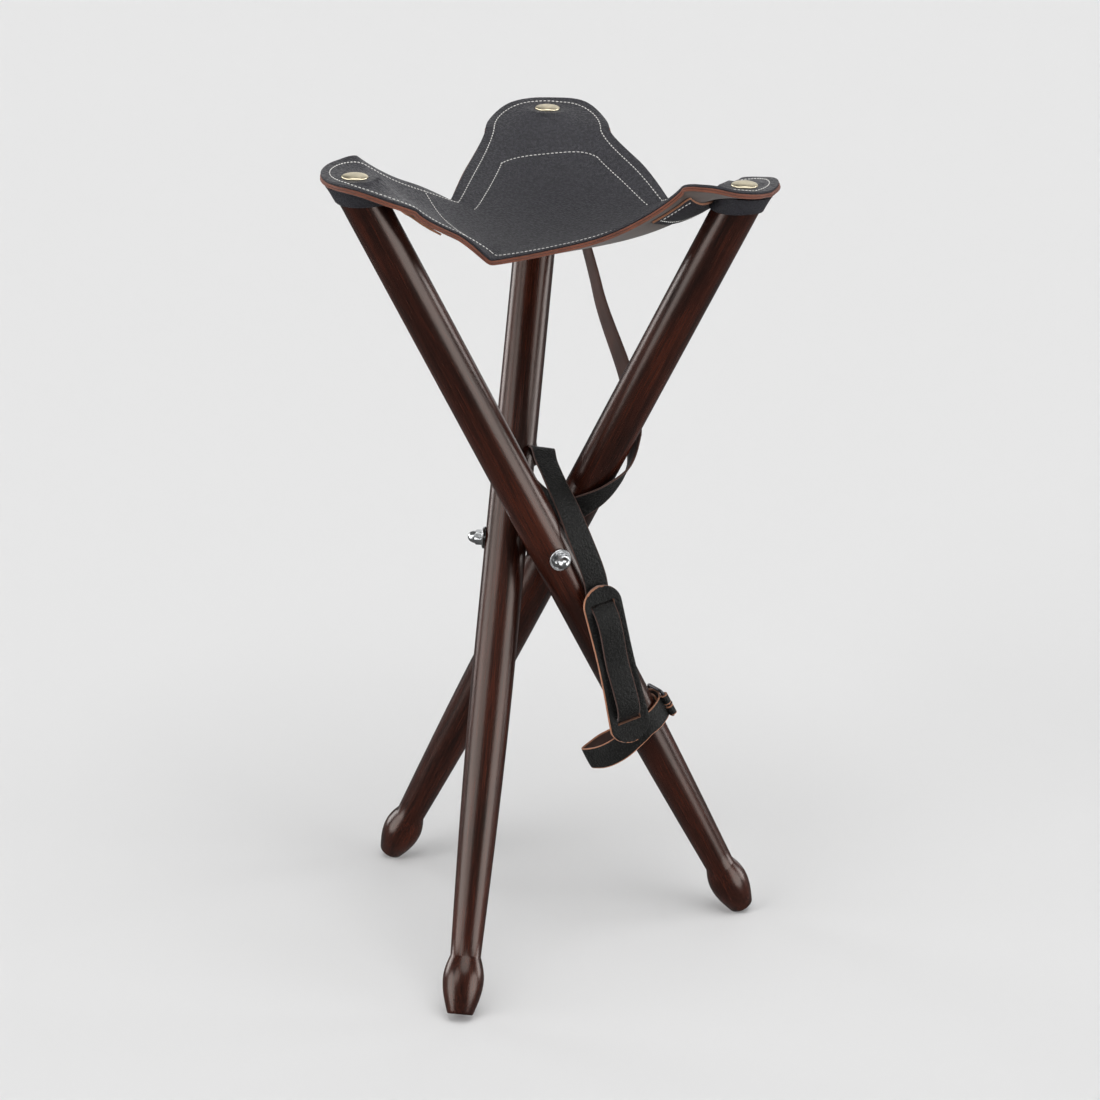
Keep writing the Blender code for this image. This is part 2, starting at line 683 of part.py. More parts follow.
def make_strap(stool, mat):
    """The strap as one route, cut where its stretches meet, and its leg loop."""
    stretches = strap_places()
    route = smooth_route([place for places in stretches.values() for place in places])
    rings = strap_rings(route)
    points = [point for point, _ in route]
    first = 0
    for name, places in stretches.items():
        last = points.index(places[-1][0])
        tube = [shifted(rings[first], CLEARANCE / 2)]
        tube += [corners for corners, _ in rings[first + 1:last]]
        tube.append(shifted(rings[last], -CLEARANCE / 2))
        solid(name, *stacked(tube), mat, stool, points[first])
        first = last
    loop = strap_rings(smooth_route(loop_places()))
    solid("strap_loop", *stacked([corners for corners, _ in loop]), mat, stool, loop[0][0][0])


def tube_ring(path, radius):
    """A round wire bent along a closed flat path of (across, along) points, in a YZ plane."""
    rings = []
    for i, (y, z) in enumerate(path):
        before = Vector(path[i - 1])
        after = Vector(path[(i + 1) % len(path)])
        along = (after - before).normalized()
        side = Vector((along.y, -along.x))
        ring = []
        for j in range(WIRE_SIDES):
            turn = 2 * pi * j / WIRE_SIDES
            shift = side * radius * cos(turn)
            ring.append((radius * sin(turn), y + shift.x, z + shift.y))
        rings.append(ring)
    return stacked(rings, closed=True)


def rounded_box(width, height, corner, steps=4):
    """(across, along) points round a box with round corners."""
    points = []
    corners = ((1, 1, 0), (-1, 1, pi / 2), (-1, -1, pi), (1, -1, 3 * pi / 2))
    for across, along, start in corners:
        for i in range(steps + 1):
            turn = start + pi / 2 * i / steps
            y = across * (width / 2 - corner) + corner * cos(turn)
            z = along * (height / 2 - corner) + corner * sin(turn)
            points.append((y, z))
    return points


def make_buckle(pivot, metal, leather):
    """The buckle's frame and prong, and the keeper beside it, over the loop's outer end."""
    on_strap = LOOP_RADIUS + LOOP_LAP + STRAP_THICK / 2 + CLEARANCE + BUCKLE_WIRE
    flat = sqrt(on_strap ** 2 - (BUCKLE_LENGTH / 2) ** 2)
    turn = Matrix.Rotation(radians(BUCKLE_ANGLE), 4, "Z")
    lift = Matrix.Translation((flat, 0, -BUCKLE_DOWN))
    place = empty("buckle_place", pivot, turn @ lift)
    path = rounded_box(BUCKLE_LENGTH, STRAP_WIDTH + 4 * BUCKLE_WIRE, 3 * BUCKLE_WIRE)
    solid("buckle_frame", *tube_ring(path, BUCKLE_WIRE), metal, place)
    bar = -BUCKLE_LENGTH / 2
    reach = BUCKLE_WIRE + PRONG_RADIUS + CLEARANCE
    rings = []
    steps = 6
    for i in range(steps + 1):
        turn = pi / 2 + PRONG_HOOK * (1 - i / steps)
        hook = Vector((sin(turn), cos(turn), 0))
        centre = Vector((0, bar, 0)) + reach * hook
        rings.append([centre + hook * x + Vector((0, 0, z)) for x, z, _ in circle(PRONG_RADIUS, 0, WIRE_SIDES)])
    tip = BUCKLE_LENGTH / 2 + BUCKLE_WIRE
    rings.append([(reach + x, tip, z) for x, z, _ in circle(PRONG_RADIUS, 0, WIRE_SIDES)])
    solid("buckle_prong", *stacked(rings), metal, place, (0, bar, 0))
    make_keeper(pivot, leather)


def make_keeper(pivot, mat):
    """A leather band round the loop's outer end."""
    turn = Matrix.Rotation(radians(KEEPER_ANGLE), 4, "Z")
    middle = Matrix.Translation((LOOP_RADIUS + LOOP_LAP + KEEPER_LIFT, 0, -BUCKLE_DOWN))
    place = empty("keeper_place", pivot, turn @ middle)
    inner = (STRAP_THICK / 2 + KEEPER_PLAY, STRAP_WIDTH / 2 + 2 * KEEPER_PLAY)
    outer = (inner[0] + KEEPER_WALL, inner[1] + KEEPER_WALL)
    half = KEEPER_LENGTH / 2
    rings = []
    for (out, up), along in ((inner, -half), (outer, -half), (outer, half), (inner, half)):
        rings.append([(out, along, up), (-out, along, up), (-out, along, -up), (out, along, -up)])
    solid("strap_keeper", *stacked(rings, closed=True), mat, place)


def stand_on_floor(stool):
    """Moves the stool so that it stands on the floor with its box centred over the origin."""
    bpy.context.view_layer.update()
    low = Vector((1e9, 1e9, 1e9))
    high = -low
    depsgraph = bpy.context.evaluated_depsgraph_get()
    for obj in bpy.data.objects:
        if obj.type != "MESH" or obj.hide_render:
            continue
        shown = obj.evaluated_get(depsgraph)
        for vertex in shown.to_mesh().vertices:
            point = shown.matrix_world @ vertex.co
            low = Vector(map(min, low, point))
            high = Vector(map(max, high, point))
        shown.to_mesh_clear()
    stool.location = (-(low.x + high.x) / 2, -(low.y + high.y) / 2, -low.z)


def main():
    clear_scene()
    wood = material("stained_wood", (0.035, 0.012, 0.010), 0.32)
    leather = material("black_leather", (0.045, 0.045, 0.052), 0.55)
    lining = material("brown_leather", (0.20, 0.065, 0.030), 0.75)
    zinc = material("zinc", (0.72, 0.73, 0.74), 0.25, 1.0)
    brass = material("pale_brass", (0.78, 0.66, 0.40), 0.3, 1.0)
    stool = empty("stool")
    hub = empty("hub", stool, Matrix.Translation((0, 0, CROSS_HEIGHT)))
    make_hardware(hub, zinc)
    pivots = {}
    for leg in LEGS:
        pivots[leg] = empty(f"{leg}_pivot", stool, leg_frame(leg))
        make_leg(leg, pivots[leg], wood)
        make_pocket(leg, pivots[leg], leather)
        make_seat(leg, stool, leather, lining)
        make_nail(leg, stool, brass)
    make_strap(stool, leather)
    make_pad(pivots["left"], leather)
    make_buckle(pivots["left"], zinc, leather)
    stand_on_floor(stool)


main()
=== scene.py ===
"""A folding tripod stool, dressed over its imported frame: turned legs, a leather seat and a carrying strap."""

import json
from math import acos, atan2, ceil, cos, hypot, pi, radians, sin, sqrt, tan

import bmesh
import bpy
import numpy as np
from bpy.props import FloatProperty, FloatVectorProperty, PointerProperty
from bpy.types import Operator, Panel, PropertyGroup
from mathutils import Matrix, Vector
from mathutils.bvhtree import BVHTree


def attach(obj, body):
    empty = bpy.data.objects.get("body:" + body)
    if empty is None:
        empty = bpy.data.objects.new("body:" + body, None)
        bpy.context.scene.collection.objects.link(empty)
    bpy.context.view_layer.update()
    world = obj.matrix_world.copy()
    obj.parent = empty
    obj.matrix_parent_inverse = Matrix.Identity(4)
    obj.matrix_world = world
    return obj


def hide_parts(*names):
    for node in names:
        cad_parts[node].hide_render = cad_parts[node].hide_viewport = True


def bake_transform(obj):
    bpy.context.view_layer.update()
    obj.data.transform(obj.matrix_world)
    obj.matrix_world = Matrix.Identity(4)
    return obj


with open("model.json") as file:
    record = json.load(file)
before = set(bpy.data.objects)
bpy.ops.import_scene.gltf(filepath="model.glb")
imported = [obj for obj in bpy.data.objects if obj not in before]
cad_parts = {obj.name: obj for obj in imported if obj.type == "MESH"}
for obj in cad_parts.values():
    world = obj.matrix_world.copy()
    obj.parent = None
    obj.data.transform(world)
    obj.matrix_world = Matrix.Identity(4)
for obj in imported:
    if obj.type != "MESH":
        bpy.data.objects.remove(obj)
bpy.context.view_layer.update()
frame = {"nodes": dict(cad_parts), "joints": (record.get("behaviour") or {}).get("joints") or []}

bl_info = {
    "name": "Folding tripod stool",
    "version": (1, 0, 0),
    "blender": (4, 5, 0),
    "location": "View3D > Sidebar > Stool",
    "description": "Dresses the packed frame of a folding tripod stool",
    "category": "Object",
}

# Stance of the open stool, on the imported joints
LEGS = ("left", "right", "rear")
FOLDS = {joint["name"]: joint for joint in frame["joints"]}
PIVOT = {leg: Vector(FOLDS[f"{leg}_fold"]["pos_m"]) for leg in LEGS}
OUT = {leg: -Vector(FOLDS[f"{leg}_fold"]["axis"]) for leg in LEGS}
HUB = sum(PIVOT.values(), Vector()) / len(LEGS)
SPLAY = radians(28.2)
LEG_ABOVE = 0.3544
LEG_BELOW = 0.3831
CROSS_RADIUS = (PIVOT["left"] - HUB).length
TOP_HEIGHT = HUB.z + LEG_ABOVE * cos(SPLAY)
TOP_RADIUS = hypot(CROSS_RADIUS, LEG_ABOVE * sin(SPLAY))
TOP_TWIST = acos(CROSS_RADIUS / TOP_RADIUS)
CLEARANCE = 0.0003

# Seat edges: the lowest point's distance from the centre, its turn from midway between two legs and its drop
FRONT_EDGE = (0.0930, radians(-27.7), 0.0612)
LEFT_EDGE = (0.0837, radians(5.9), 0.0450)
RIGHT_EDGE = (0.1180, radians(4.3), 0.0486)
EDGES = {
    "left": {1: FRONT_EDGE, -1: LEFT_EDGE},
    "right": {1: RIGHT_EDGE, -1: FRONT_EDGE},
    "rear": {1: LEFT_EDGE, -1: RIGHT_EDGE},
}
FLANK_PULL_TIP = 0.0080
FLANK_PULL_MIDDLE = 0.0040

# How a lobe sags: along its middle, out to its sides, and the level place that its nail holds
RIB_SAG_POWER = 2.6
SIDE_SAG_POWER = 1.8
LEVEL_STRETCH = 2.2
LEVEL_SHARE = 0.6

# How far a lobe's tip hangs below its nail, and each side: beside the tip, at its shoulder, at the bend
# and halfway down the flank
TIP_DROPS = {"left": 0.0, "right": 0.0, "rear": -0.0045}
SIDE_SHARES = (0.0, 0.4, 0.75, 1.05, 1.5, 2.0)
SIDE_DROPS = {
    "left": {1: (0.0005, 0.0085, 0.0180, 0.0370), -1: (-0.0010, -0.0025, -0.0022, 0.0236)},
    "right": {1: (-0.0010, 0.0035, 0.0090, 0.0285), -1: (-0.0035, -0.0085, -0.0030, 0.0415)},
    "rear": {1: (-0.0022, 0.0062, 0.0115, 0.0275), -1: (-0.0045, 0.0040, 0.0095, 0.0255)},
}

# Outline of the piece sewn under the centre: its reach along each side of a lobe, and its bow outwards
CENTRE_REACH = {
    "left": {1: 0.098, -1: 0.083},
    "right": {1: 0.098, -1: 0.098},
    "rear": {1: 0.104, -1: 0.115},
}
CENTRE_BOW = {"left": 0.0, "right": 0.0, "rear": 0.0105}
REAR_CENTRE_INSET = 0.021
THREAD_LIFT = 0.00012

# Pockets: the collar's play and wall round its leg, and the patch under the lining
POCKET_PLAY = 0.00035
POCKET_WALL = 0.0018
PATCH_GAP = 0.0002
PATCH_PLY = 0.0016
PATCH_START = 0.002
PATCH_LENGTH = 0.031
PATCH_SHARE = 0.86

# Rows and columns of a seat lobe's mesh
TIP_ROWS = 18
PANEL_ROWS = 40
HALF_COLUMNS = 18

# Buckle and its loop round the left leg, with the loop's furthest place below the buckle and in degrees
BUCKLE_DOWN = 0.172
BUCKLE_ANGLE = radians(98)
KEEPER_ANGLE = radians(146)
LOOP_FAR = (0.0195, 246)
LOOP_REACH = 0.057
LOOP_PLAY = 0.0006
LOOP_LAP = 0.0044

# Shoulder pad: its tilt and its top's place on the left leg, its gap from the leg, how far its long edges
# turn up, and its slots' height and distances from its ends
PAD_TILT = radians(13.9)
PAD_TOP = (0, 0.0156, -0.0348)
PAD_STANDOFF = 0.0058
PAD_CURL = 0.0022
SLOT_HEIGHT = 0.0060
UPPER_SLOT = 0.017
LOWER_SLOT_INSET = 0.022


def length(name, default, about):
    return FloatProperty(name=name, description=about, default=default, min=0.0, precision=4, unit="LENGTH")


def colour(name, default, about):
    return FloatVectorProperty(name=name, description=about, default=default, size=3, min=0.0, max=1.0,
                               subtype="COLOR")


class StoolWood(PropertyGroup):
    radius: length("Leg radius", 0.017, "Radius of the straight part of a leg")
    taper_start: length("Taper start", 0.100, "How far below the crossing a leg starts to taper")
    neck_radius: length("Neck radius", 0.0122, "Radius of the neck over the foot")
    neck_height: length("Neck height", 0.0462, "Height of the neck over the foot's end")
    bulb_radius: length("Foot radius", 0.0164, "Largest radius of the turned foot")
    bulb_height: length("Foot height", 0.0278, "Height of the foot's widest place")
    end_radius: length("End radius", 0.0104, "Radius of the foot's flat end")
    dark: colour("Dark stain", (0.0050, 0.0018, 0.0014), "Colour of the darkest stained grain")
    warm: colour("Warm stain", (0.046, 0.0092, 0.0040), "Colour of the reddish grain")


class StoolLeather(PropertyGroup):
    top_ply: length("Top thickness", 0.0020, "Thickness of the black seat leather")
    lining_ply: length("Lining thickness", 0.0036, "Thickness of the brown lining")
    overhang: length("Overhang", 0.0225, "How far the seat reaches past a leg's nail")
    half_width: length("Corner half width", 0.0500, "Half the width of a seat corner")
    centre_drop: length("Centre drop", 0.0620, "How far the seat hangs at its centre")
    level: length("Level place", 0.0225, "How far round a nail the seat lies level on its pocket")
    stitch_inset: length("Stitch inset", 0.0065, "Distance of the stitching from the seat's edge")
    stitch_pitch: length("Stitch pitch", 0.0034, "Length of one stitch and its gap")
    stitch_length: length("Stitch length", 0.0025, "Length of one stitch")
    thread_radius: length("Thread radius", 0.00044, "Radius of the sewing thread")
    top: colour("Seat leather", (0.037, 0.036, 0.044), "Colour of the black seat leather")
    lining: colour("Lining", (0.052, 0.030, 0.021), "Colour of the brown lining's rough side")
    lining_edge: colour("Lining edge", (0.120, 0.034, 0.016), "Colour of the brown lining's cut edge")
    edge: colour("Cut edge", (0.30, 0.130, 0.070), "Colour of a tan cut edge")
    thread: colour("Thread", (0.72, 0.71, 0.68), "Colour of the sewing thread")


class StoolStrap(PropertyGroup):
    width: length("Strap width", 0.020, "Width of the carrying strap")
    thickness: length("Strap thickness", 0.0020, "Thickness of the carrying strap")
    slack: length("Strap slack", 0.0014, "How far the wound strap stands off a leg")
    pad_length: length("Pad length", 0.143, "Length of the shoulder pad")
    pad_top: length("Pad top width", 0.033, "Width of the shoulder pad at its top")
    pad_waist: length("Pad waist width", 0.0315, "Width of the shoulder pad at its narrowest")
    pad_bottom: length("Pad bottom width", 0.036, "Width of the shoulder pad at its bottom")
    pad_thickness: length("Pad thickness", 0.0040, "Thickness of the shoulder pad")
    black: colour("Strap leather", (0.0105, 0.0105, 0.0098), "Colour of the strap's grain side")
    suede: colour("Strap suede", (0.048, 0.020, 0.014), "Colour of the strap's rough side")
    edge: colour("Strap edge", (0.045, 0.018, 0.012), "Colour of the strap's cut edge")


class StoolMetal(PropertyGroup):
    washer_radius: length("Washer radius", 0.009, "Radius of a washer")
    washer_thickness: length("Washer thickness", 0.0016, "Thickness of a washer")
    nut_flats: length("Nut width", 0.011, "Width of a cap nut across its flats")
    nail_radius: length("Nail radius", 0.0102, "Radius of a seat nail's head")
    nail_height: length("Nail height", 0.0028, "Height of a seat nail's head")
    zinc: colour("Zinc", (0.68, 0.69, 0.70), "Colour of the zinc plating")
    brass: colour("Pale brass", (0.95, 0.85, 0.62), "Colour of the seat nails")
    dark: colour("Dark steel", (0.11, 0.11, 0.12), "Colour of the buckle")


class StoolStage(PropertyGroup):
    floor: colour("Floor", (0.752, 0.752, 0.752), "Colour of the plain floor")
    lens: length("Lens", 0.11268, "Focal length of the camera on a 36 mm sensor")


class Wire:
    """An output socket of a finish; sums with numbers and other wires add Math nodes."""

    def __init__(self, finish, socket):
        self.finish = finish
        self.socket = socket

    def maths(self, operation, first, second):
        return self.finish.node("ShaderNodeMath", {"operation": operation}, {0: first, 1: second})

    def __add__(self, other):
        return self.maths("ADD", self, other)

    __radd__ = __add__

    def __sub__(self, other):
        return self.maths("SUBTRACT", self, other)

    def __rsub__(self, other):
        return self.maths("SUBTRACT", other, self)

    def __mul__(self, other):
        return self.maths("MULTIPLY", self, other)

    __rmul__ = __mul__

    def between(self, low, high):
        """0 at or below low, 1 at or above high, smooth between."""
        sockets = {"Value": self, "From Min": low, "From Max": high}
        return self.finish.node("ShaderNodeMapRange", {"interpolation_type": "SMOOTHSTEP"}, sockets)


class Finish:
    """A procedural material: its shader, and one way to add any node before it."""

    def __init__(self, name, **constants):
        self.material = bpy.data.materials.new(name)
        self.material.use_nodes = True
        self.tree = self.material.node_tree
        self.shader = self.tree.nodes["Principled BSDF"]
        for socket, value in constants.items():
            self.shader.inputs[socket.replace("_", " ")].default_value = value

    def node(self, kind, settings=None, sockets=None, output=0):
        made = self.tree.nodes.new(kind)
        for key, value in (settings or {}).items():
            setattr(made, key, value)
        for key, value in (sockets or {}).items():
            if isinstance(value, Wire):
                self.tree.links.new(value.socket, made.inputs[key])
            else:
                made.inputs[key].default_value = value
        return Wire(self, made.outputs[output])

    def place(self):
        return self.node("ShaderNodeTexCoord", output="Object")

    def stored(self, name):
        return self.node("ShaderNodeAttribute", {"attribute_name": name}, output="Vector")

    def stretched(self, vector, scale):
        return self.node("ShaderNodeVectorMath", {"operation": "MULTIPLY"}, {0: vector, 1: scale})

    def noise(self, vector, scale, detail=2.0, rough=0.5):
        sockets = {"Vector": vector, "Scale": scale, "Detail": detail, "Roughness": rough}
        return self.node("ShaderNodeTexNoise", None, sockets)

    def cells(self, vector, scale, feature="SMOOTH_F1"):
        return self.node("ShaderNodeTexVoronoi", {"feature": feature}, {"Vector": vector, "Scale": scale})

    def mix(self, share, first, second):
        pair = [value if isinstance(value, Wire) else (*value, 1.0) for value in (first, second)]
        return self.node("ShaderNodeMix", {"data_type": "RGBA"}, {0: share, 6: pair[0], 7: pair[1]}, 2)

    def bump(self, height, distance, strength=1.0, under=None):
        sockets = {"Height": height, "Distance": distance, "Strength": strength}
        if under:
            sockets["Normal"] = under
        return self.node("ShaderNodeBump", None, sockets)

    def feed(self, **wires):
        for socket, wire in wires.items():
            self.tree.links.new(wire.socket, self.shader.inputs[socket.replace("_", " ")])
        return self.material


def dimmed(colours, share):
    """A colour with every channel multiplied by a share."""
    return tuple(share * value for value in colours)


def stained_wood():
    """Dark stained hardwood under a satin varnish, with grain that runs along the leg."""
    wood = bpy.context.scene.stool_wood
    finish = Finish("leg_wood", Coat_Roughness=0.22, Specular_IOR_Level=0.38,
                    Specular_Tint=(1.0, 0.80, 0.70, 1.0))
    grain = finish.stored("grain")
    broad = finish.noise(finish.stretched(grain, (90, 90, 7)), 1.0, 4.0, 0.65)
    fine = finish.noise(finish.stretched(grain, (800, 800, 30)), 1.0, 3.0, 0.7)
    pores = finish.noise(finish.stretched(grain, (1900, 1900, 130)), 1.0, 2.0, 0.7)
    warmth = (broad * 0.60 + fine * 0.45).between(0.34, 0.76)
    base = finish.mix(warmth, wood.dark, wood.warm)
    base = finish.mix(pores.between(0.60, 0.75) * 0.55, base, dimmed(wood.dark, 0.45))
    rough = 0.16 + 0.12 * fine + 0.06 * pores
    height = fine * 0.5 + pores
    return finish.feed(Base_Color=base, Roughness=rough, Coat_Weight=0.10 + 0.25 * broad,
                       Normal=finish.bump(height, 0.00006))


def pebbled(name, colours, pebble, gloss):
    """Grained leather: small raised pebbles, smoother on their tops, with painted shade darkening the creases
    between.
    """
    finish = Finish(name, Specular_IOR_Level=gloss, Sheen_Weight=0.02, Sheen_Roughness=0.4)
    place = finish.place()
    wander = finish.node("ShaderNodeTexNoise", None, {"Vector": place, "Scale": 0.35 / pebble}, "Color")
    bent = finish.node("ShaderNodeVectorMath", {"operation": "MULTIPLY_ADD"},
                       {0: wander, 1: (0.6 * pebble,) * 3, 2: place})
    grain = finish.cells(bent, 1 / pebble)
    small = finish.cells(bent, 2.1 / pebble, "F1")
    cloud = finish.noise(place, 28.0, 3.0)
    pores = finish.noise(place, 2.4 / pebble, 2.0)
    height = (1 - grain) * 0.7 + (1 - small) * 0.3 + 0.25 * pores
    tops = (1 - grain).between(0.35, 0.85)
    # Painted shade: the creases between the pebbles get a darker colour; the cloud adds random tone.
    base = finish.mix(tops * 0.75 + cloud * 0.25, dimmed(colours, 0.55), colours)
    rough = 0.47 - 0.18 * tops + 0.12 * cloud
    swell = finish.bump(cloud, 0.0006, 0.5)
    return finish.feed(Base_Color=base, Roughness=rough,
                       Normal=finish.bump(height, 0.62 * pebble, 1.0, swell))


def fibrous(name, colours, layers=False):
    """The flesh side or cut edge of leather: short fibres, blotches and, on an edge, layers."""
    finish = Finish(name, Specular_IOR_Level=0.25, Sheen_Weight=0.15, Sheen_Roughness=0.6)
    place = finish.place()
    blotch = finish.noise(place, 55.0, 4.0, 0.6)
    nap = finish.noise(place, 900.0, 3.0, 0.7)
    streaks = finish.noise(finish.stretched(place, (120, 120, 1300)), 1.0, 2.0)
    share = blotch * 0.5 + nap * 0.35 + (streaks * 0.3 if layers else 0.1)
    base = finish.mix(share.between(0.30, 0.80), dimmed(colours, 0.50), dimmed(colours, 1.35))
    rough = 0.72 + 0.2 * nap
    return finish.feed(Base_Color=base, Roughness=rough,
                       Normal=finish.bump(nap + streaks * 0.4, 0.00012, 0.7))


def plated(name, colours, rough, scratch):
    """Bright metal with fine handling marks."""
    finish = Finish(name, Metallic=1.0)
    place = finish.place()
    smear = finish.noise(place, 160.0, 4.0, 0.6)
    fine = finish.noise(finish.stretched(place, (2600, 2600, 500)), 1.0, 2.0)
    base = finish.mix(smear.between(0.35, 0.75), dimmed(colours, 0.72), colours)
    return finish.feed(Base_Color=base, Roughness=rough + 0.14 * smear + 0.05 * fine,
                       Normal=finish.bump(fine + smear * 0.5, scratch))


def sewing_thread():
    """Twisted pale thread, a little soiled."""
    leather = bpy.context.scene.stool_leather
    finish = Finish("sewing_thread", Roughness=0.8, Sheen_Weight=0.2)
    place = finish.place()
    soil = finish.noise(place, 140.0, 3.0)
    twist = finish.noise(place, 2600.0, 2.0)
    base = finish.mix(soil.between(0.35, 0.8) * 0.5, leather.thread, dimmed(leather.thread, 0.62))
    return finish.feed(Base_Color=base, Normal=finish.bump(twist, 0.0001))


def painted_floor():
    """Plain pale paint, very slightly mottled."""
    stage = bpy.context.scene.stool_stage
    finish = Finish("painted_floor", Roughness=0.9, Specular_IOR_Level=0.1)
    mottle = finish.noise(finish.place(), 1.4, 2.0)
    return finish.feed(Base_Color=finish.mix(mottle * 0.3, stage.floor, dimmed(stage.floor, 0.985)))


def finish_of(name):
    """A material by name, made the first time it is asked for."""
    if name in bpy.data.materials:
        return bpy.data.materials[name]
    leather = bpy.context.scene.stool_leather
    strap = bpy.context.scene.stool_strap
    metal = bpy.context.scene.stool_metal
    makers = {
        "leg_wood": stained_wood,
        "seat_leather": lambda: pebbled(name, leather.top, pebble=0.0021, gloss=0.44),
        "pocket_leather": lambda: pebbled(name, dimmed(leather.top, 0.8), pebble=0.0011, gloss=0.30),
        "strap_leather": lambda: pebbled(name, strap.black, pebble=0.0016, gloss=0.20),
        "lining_leather": lambda: fibrous(name, leather.lining),
        "lining_edge": lambda: fibrous(name, leather.lining_edge, layers=True),
        "tan_edge": lambda: fibrous(name, leather.edge, layers=True),
        "strap_edge": lambda: fibrous(name, strap.edge, layers=True),
        "strap_suede": lambda: fibrous(name, strap.suede),
        "bright_zinc": lambda: plated(name, metal.zinc, rough=0.16, scratch=0.00002),
        "dark_steel": lambda: plated(name, metal.dark, rough=0.24, scratch=0.00002),
        "nail_brass": lambda: plated(name, metal.brass, rough=0.28, scratch=0.00003),
        "sewing_thread": sewing_thread,
        "painted_floor": painted_floor,
    }
    return makers[name]()


def piece(name, verts, faces, finishes, picks=None, crease=38.0):
    """One mesh at the origin, with its doubles merged and its faces turned outwards."""
    mesh = bpy.data.meshes.new(name)
    mesh.from_pydata([tuple(vert) for vert in verts], [], faces)
    for finish in finishes:
        mesh.materials.append(finish_of(finish))
    if picks is not None:
        mesh.polygons.foreach_set("material_index", picks)
    edit = bmesh.new()
    edit.from_mesh(mesh)
    bmesh.ops.remove_doubles(edit, verts=edit.verts, dist=2e-6)
    bmesh.ops.recalc_face_normals(edit, faces=edit.faces)
    edit.to_mesh(mesh)
    edit.free()
    mesh.shade_smooth()
    mesh.set_sharp_from_angle(angle=radians(crease))
    obj = bpy.data.objects.new(name, mesh)
    bpy.context.scene.collection.objects.link(obj)
    return obj


def settle(obj, body, node):
    """Puts a piece on its body in place of a CAD node."""
    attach(obj, body)
    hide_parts(node)


def stacked(rings, closed=False):
    """Vertices and faces of a tube through rings of equally many points, capped or joined end to end."""
    count = len(rings[0])
    verts = [point for ring in rings for point in ring]
    faces = []
    spans = len(rings) if closed else len(rings) - 1
    for i in range(spans):
        low = i * count
        high = (i + 1) % len(rings) * count
        for j in range(count):
            k = (j + 1) % count
            faces.append((low + j, low + k, high + k, high + j))
    if not closed:
        faces.append(tuple(range(count)))
        faces.append(tuple(range(len(verts) - count, len(verts))))
    return verts, faces


def circle(radius, height, sides, axis="Z"):
    points = []
    for i in range(sides):
        angle = 2 * pi * i / sides
        across = (radius * cos(angle), radius * sin(angle))
        points.append((*across, height) if axis == "Z" else (height, *across))
    return points


def ring_round(spot, one, other, radius, sides=16):
    """Points round a spot, in the plane of two directions."""
    turns = [2 * pi * j / sides for j in range(sides)]
    return [spot + radius * (cos(turn) * one + sin(turn) * other) for turn in turns]


def rounded(half_wide, half_tall, corner, steps):
    """Points round a rectangle with round corners, each corner in the given steps."""
    spots = []
    for across, rise, start in ((1, 1, 0), (-1, 1, pi / 2), (-1, -1, pi), (1, -1, 3 * pi / 2)):
        for i in range(steps + 1):
            turn = start + pi / 2 * i / steps
            spots.append((across * (half_wide - corner) + corner * cos(turn),
                          rise * (half_tall - corner) + corner * sin(turn)))
    return spots


def moved(place, rings):
    return [[place @ Vector(point) for point in ring] for ring in rings]


def leg_frame(leg):
    """The leg's frame at the crossing: X out along its arm, Z up along the leg."""
    out = OUT[leg]
    along = sin(SPLAY) * Vector((out.y, -out.x, 0)) + cos(SPLAY) * Vector((0, 0, 1))
    place = Matrix((out, along.cross(out), along)).transposed().to_4x4()
    place.translation = PIVOT[leg]
    return place


def arm_frame(leg):
    """The frame of a stud's arm, with X out along it from the stool's middle line."""
    place = Matrix.Rotation(atan2(OUT[leg].y, OUT[leg].x), 4, "Z")
    place.translation = HUB
    return place


def lobe_frame(leg):
    """The frame of a seat lobe on the floor, with X out over its leg's top."""
    place = Matrix.Rotation(atan2(OUT[leg].y, OUT[leg].x) - TOP_TWIST, 4, "Z")
    place.translation = (HUB.x, HUB.y, 0)
    return place


def level_point(radius, angle, height):
    """A point round a leg's axis, at a height over its level top."""
    across = radius * sin(angle)
    return (radius * cos(angle), across, LEG_ABOVE + height / cos(SPLAY) - across * tan(SPLAY))


def leg_profile(wood):
    """(radius, height) points up the turned leg, from the foot's end to its straight part."""
    chamfer = 0.0007
    steps = 18
    foot = -LEG_BELOW
    bulb = foot + wood.bulb_height
    neck = foot + wood.neck_height
    parts = (
        (wood.end_radius, wood.bulb_radius, sin, foot + chamfer, bulb),
        (wood.neck_radius, wood.bulb_radius, cos, bulb, neck),
        (wood.neck_radius, wood.radius, sin, neck, -wood.taper_start),
    )
    points = [(wood.end_radius - chamfer, foot), (wood.end_radius, foot + chamfer)]
    for thin, thick, curve, low, high in parts:
        for i in range(1, steps + 1):
            share = i / steps
            points.append((thin + (thick - thin) * curve(pi / 2 * share), low + (high - low) * share))
    return points


def store_grain(obj, place, shift):
    """Keeps each point's place along and round a leg, for the wood's grain."""
    back = place.inverted()
    values = np.array([(back @ vert.co) + Vector((0, 0, shift)) for vert in obj.data.vertices], np.float32)
    grain = obj.data.attributes.new("grain", "FLOAT_VECTOR", "POINT")
    grain.data.foreach_set("vector", values.ravel())


